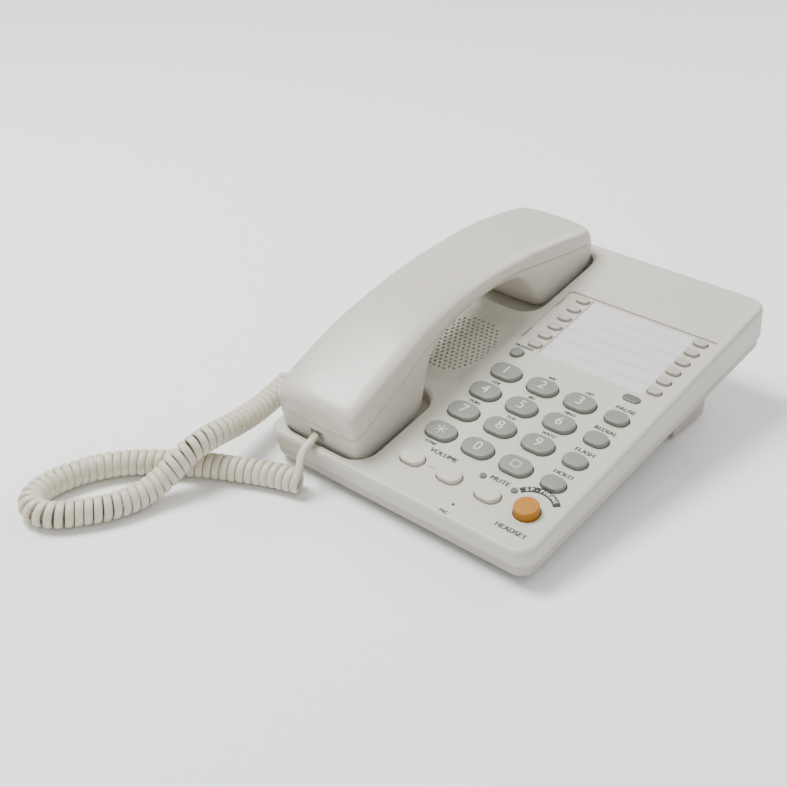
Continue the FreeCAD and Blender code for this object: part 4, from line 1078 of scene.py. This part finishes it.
HANDSET_END = ((-46.5, -99.5, 23.4), (-46.3, -106.8, 21.2), (-45.6, -111.5, 17.8))
LEAD_MEETS_COIL = math.radians(-42)
COIL_ROUTE = (
    (-43.6, -114.6, 6.8), (-57, -118.5, 6.4), (-69.5, -125, 6.4), (-82.5, -132, 6.4),
    (-95.5, -140.5, 6.4), (-107.5, -149.5, 6.4), (-117.5, -160.5, 6.4), (-124, -173.5, 6.4),
    (-127, -187, 6.4), (-126.6, -197.5, 6.4), (-122, -205.3, 6.4), (-113.5, -207.8, 6.4),
    (-105.5, -203, 6.4), (-99.5, -194.5, 6.4), (-93.5, -185, 6.4), (-89.5, -172.5, 6.4),
    (-87.5, -160.5, 9), (-86, -150, 15.5), (-84.6, -140, 20.6), (-84.4, -127, 21.2),
    (-87, -111, 18.2), (-90.5, -95, 16), (-93.5, -79.5, 16.4), (-95, -66, 19),
)
CASE_END = ((-95.4, -55, 21.8), (-93.5, -44.5, 24.0), (-88.5, -33.9, 25.1), (-79.9, -32.4, 25.1))


def spline_line(points, resolution):
    """The smooth line of a NURBS spline through given control points"""
    curve = bpy.data.curves.new("route", "CURVE")
    curve.dimensions = "3D"
    spline = curve.splines.new("NURBS")
    spline.points.add(len(points) - 1)
    for point, place in zip(spline.points, points):
        point.co = (*(Vector(place) * MM), 1)
    spline.order_u = 3
    spline.use_endpoint_u = True
    spline.resolution_u = resolution
    holder = bpy.data.objects.new("route", curve)
    bpy.context.scene.collection.objects.link(holder)
    bpy.context.view_layer.update()
    line = bpy.data.meshes.new_from_object(holder)
    places = [vertex.co.copy() for vertex in line.vertices]
    bpy.data.objects.remove(holder)
    return places


def along(places):
    """Running length at each place of a line"""
    lengths = [0.0]
    for before, after in zip(places, places[1:]):
        lengths.append(lengths[-1] + (after - before).length)
    return lengths


def at_length(places, lengths, target):
    """The place and the direction at one running length"""
    number = 1
    while number < len(lengths) - 1 and lengths[number] < target:
        number += 1
    step = lengths[number] - lengths[number - 1]
    share = (target - lengths[number - 1]) / step if step else 0
    place = places[number - 1].lerp(places[number], share)
    return place, (places[number] - places[number - 1]).normalized()


route = spline_line(COIL_ROUTE + CASE_END, 24)
running = along(route)


def nearest_length(point):
    distances = [(place - Vector(point) * MM).length for place in route]
    return running[distances.index(min(distances))]


coil_end = nearest_length(COIL_ROUTE[-1])
turns = round(coil_end / COIL_PITCH)
curl_radius = (COIL_DIAMETER - LEAD_THICKNESS) / 2


def coil_rings():
    """Middle and outward direction of each ring of the curl and of the lead to the case"""
    rings = []
    _, direction = at_length(route, running, 0)
    side = Vector((0, 0, 1))
    count = turns * RINGS_PER_TURN
    stations = [(coil_end * number / count, LEAD_MEETS_COIL - math.tau * turns * number / count)
                for number in range(count + 1)]
    left = running[-1] - coil_end
    more = int(left / LEAD_STEP)
    stations += [(coil_end + left * number / more, stations[-1][1])
                 for number in range(1, more + 1)]
    for length, angle in stations:
        place, ahead = at_length(route, running, length)
        side = (side - ahead * side.dot(ahead)).normalized()
        other = ahead.cross(side)
        inside = max(min((coil_end - length) / (0.5 * COIL_PITCH), 1.0), 0.0)
        radius = curl_radius * inside * inside * (3 - 2 * inside)
        outward = side * math.cos(angle) + other * math.sin(angle)
        rings.append((place + outward * radius, outward))
    return rings


def lead_rings(coil):
    """Rings of the straight lead from the handset, which meets the first turn at a tangent"""
    start = coil[0][0]
    onward = (coil[1][0] - start).normalized()
    points = [*HANDSET_END, (start - onward * 5 * MM) / MM, start / MM]
    places = spline_line(points, 12)
    outward = coil[0][1]
    rings = []
    for number in range(len(places) - 2, -1, -1):
        ahead = (places[number + 1] - places[number]).normalized()
        outward = (outward - ahead * outward.dot(ahead)).normalized()
        rings.append((places[number], outward))
    return rings[::-1]


def cord_mesh():
    """The jacket as one tube of flat rings, and the line that its middle follows"""
    coil = coil_rings()
    rings = lead_rings(coil) + coil
    path = [middle for middle, _ in rings]
    vertices = []
    for number, (middle, outward) in enumerate(rings):
        before = path[max(number - 1, 0)]
        after = path[min(number + 1, len(path) - 1)]
        ahead = (after - before).normalized()
        thick = (outward - ahead * outward.dot(ahead)).normalized()
        wide = ahead.cross(thick)
        for corner in range(SECTION_SIDES):
            angle = math.tau * (corner + 0.5) / SECTION_SIDES
            flat = abs(math.cos(angle)) ** 0.6 * math.copysign(1, math.cos(angle))
            rise = abs(math.sin(angle)) ** 0.75 * math.copysign(1, math.sin(angle))
            vertices.append(middle + wide * flat * LEAD_WIDTH / 2
                            + thick * rise * LEAD_THICKNESS / 2)
    faces = []
    for ring in range(len(rings) - 1):
        for corner in range(SECTION_SIDES):
            after = (corner + 1) % SECTION_SIDES
            base = ring * SECTION_SIDES
            faces.append((base + corner, base + after, base + SECTION_SIDES + after,
                          base + SECTION_SIDES + corner))
    faces.append(tuple(reversed(range(SECTION_SIDES))))
    last = (len(rings) - 1) * SECTION_SIDES
    faces.append(tuple(range(last, last + SECTION_SIDES)))
    mesh = bpy.data.meshes.new("curled_cord")
    mesh.from_pydata(vertices, [], faces)
    mesh.update()
    return mesh, path


cord_shape, cord_path = cord_mesh()
curled_cord = bpy.data.objects.new("curled_cord", cord_shape)
bpy.context.scene.collection.objects.link(curled_cord)
for polygon in cord_shape.polygons:
    polygon.use_smooth = True

jacket = Finish("cord_jacket")
blotch = jacket.noise(60.0)
grain = jacket.noise(1800.0, 2.0)
jacket.set(base_color=jacket.mix(blotch, (0.56, 0.52, 0.40, 1), (0.61, 0.575, 0.455, 1)),
           roughness=0.38 + 0.12 * grain)
jacket.bump(grain, 0.15, 0.0002)
cord_shape.materials.append(jacket.material)

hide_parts("cord_coil", "cord_lead_handset", "cord_lead_base")
along(cord_path)[-1]
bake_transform(curled_cord)
print("cord length", along(cord_path)[-1], "turns", turns)

low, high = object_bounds()
